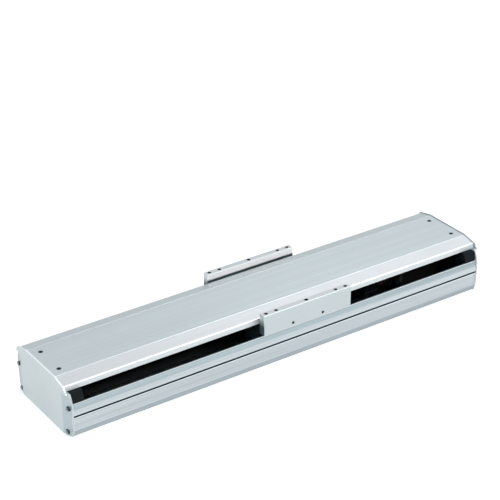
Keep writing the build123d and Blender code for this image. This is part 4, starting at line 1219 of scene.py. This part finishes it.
def studio_floor():
    """A wide pale floor under the base; it keeps the part's shadow and looks white beside it."""
    half = floor_half_width
    mesh = bpy.data.meshes.new("studio_floor")
    corners = [(-half, -half, 0), (half, -half, 0), (half, half, 0), (-half, half, 0)]
    mesh.from_pydata(corners, [], [(0, 1, 2, 3)])
    material = bpy.data.materials.new("studio floor")
    material.use_nodes = True
    tree = material.node_tree
    shader = tree.nodes["Principled BSDF"]
    set_inputs(shader, Base_Color=floor_colour, Roughness=0.9, Emission_Color=(1.0, 1.0, 1.0, 1.0))
    path = new_node(tree, "ShaderNodeLightPath")
    glow = combine(tree, "MULTIPLY", seen_plainly(tree), floor_glow)
    glow = blend_values(tree, path.outputs["Is Camera Ray"], glow, floor_camera_glow)
    tree.links.new(glow, shader.inputs["Emission Strength"])
    mesh.materials.append(material)
    floor = bpy.data.objects.new("studio_floor", mesh)
    bpy.context.scene.collection.objects.link(floor)


def studio_sky():
    """A pale surround, a little darker towards the horizon, and plain white where the camera sees it."""
    world = bpy.data.worlds.new("studio surround")
    bpy.context.scene.world = world
    world.use_nodes = True
    tree = world.node_tree
    tree.nodes.clear()
    output = new_node(tree, "ShaderNodeOutputWorld")
    background = new_node(tree, "ShaderNodeBackground")
    place = new_node(tree, "ShaderNodeTexCoord")
    height = new_node(tree, "ShaderNodeSeparateXYZ")
    rise = new_node(tree, "ShaderNodeMapRange", interpolation_type="SMOOTHSTEP")
    set_inputs(rise, From_Max=ceiling_rise)
    tree.links.new(place.outputs["Generated"], height.inputs["Vector"])
    tree.links.new(height.outputs["Z"], rise.inputs["Value"])
    wall = blend_colours(tree, rise.outputs["Result"], horizon_colour, ceiling_colour)
    path = new_node(tree, "ShaderNodeLightPath")
    colour = blend_colours(tree, path.outputs["Is Camera Ray"], wall, ceiling_colour)
    tree.links.new(colour, background.inputs["Color"])
    strength = spread_value(tree, seen_plainly(tree), sky_level, 1.0)
    tree.links.new(strength, background.inputs["Strength"])
    tree.links.new(background.outputs["Background"], output.inputs["Surface"])


def soft_box(name, place, aim, width, depth, power):
    """A large soft lamp that points at a place on the body."""
    lamp = bpy.data.lights.new(name, "AREA")
    lamp.shape = "RECTANGLE"
    lamp.size = width
    lamp.size_y = depth
    lamp.energy = power
    holder = bpy.data.objects.new(name, lamp)
    holder.location = place
    holder.rotation_euler = (Vector(aim) - Vector(place)).to_track_quat("-Z", "Y").to_euler()
    bpy.context.scene.collection.objects.link(holder)


def studio_lamps():
    """Four soft boxes, each of which lights one side of the body."""
    soft_box("overhead softbox", (0.0, -0.2, 2.4), aim=(0.0, 0.0, 0.0), width=2.2, depth=1.8, power=10.0)
    soft_box("rear softbox", (1.65, 1.25, 2.05), aim=(0.1, 0.0, 0.05), width=1.5, depth=0.9, power=3.8)
    soft_box("front softbox", (1.2, -1.9, 1.75), aim=(0.0, 0.0, 0.05), width=1.3, depth=0.9, power=16.0)
    soft_box("left softbox", (-2.2, -0.8, 1.2), aim=(-0.3, 0.0, 0.05), width=1.4, depth=1.0, power=11.5)


def studio_camera():
    """The photograph's camera."""
    lens = bpy.data.cameras.new("photo camera")
    lens.sensor_width = sensor_width
    lens.lens = camera_lens
    lens.clip_end = 50.0
    camera = bpy.data.objects.new("photo camera", lens)
    turn = Matrix((camera_right, camera_up, camera_back)).transposed().to_4x4()
    camera.matrix_world = Matrix.Translation(Vector(camera_place) * millimetre) @ turn
    bpy.context.scene.collection.objects.link(camera)
    bpy.context.scene.camera = camera


dress_frame()
threaded_ball_screw()
thread_tapped_holes()
studio_floor()
studio_sky()
studio_lamps()
studio_camera()
bpy.context.scene.view_settings.view_transform = "Standard"
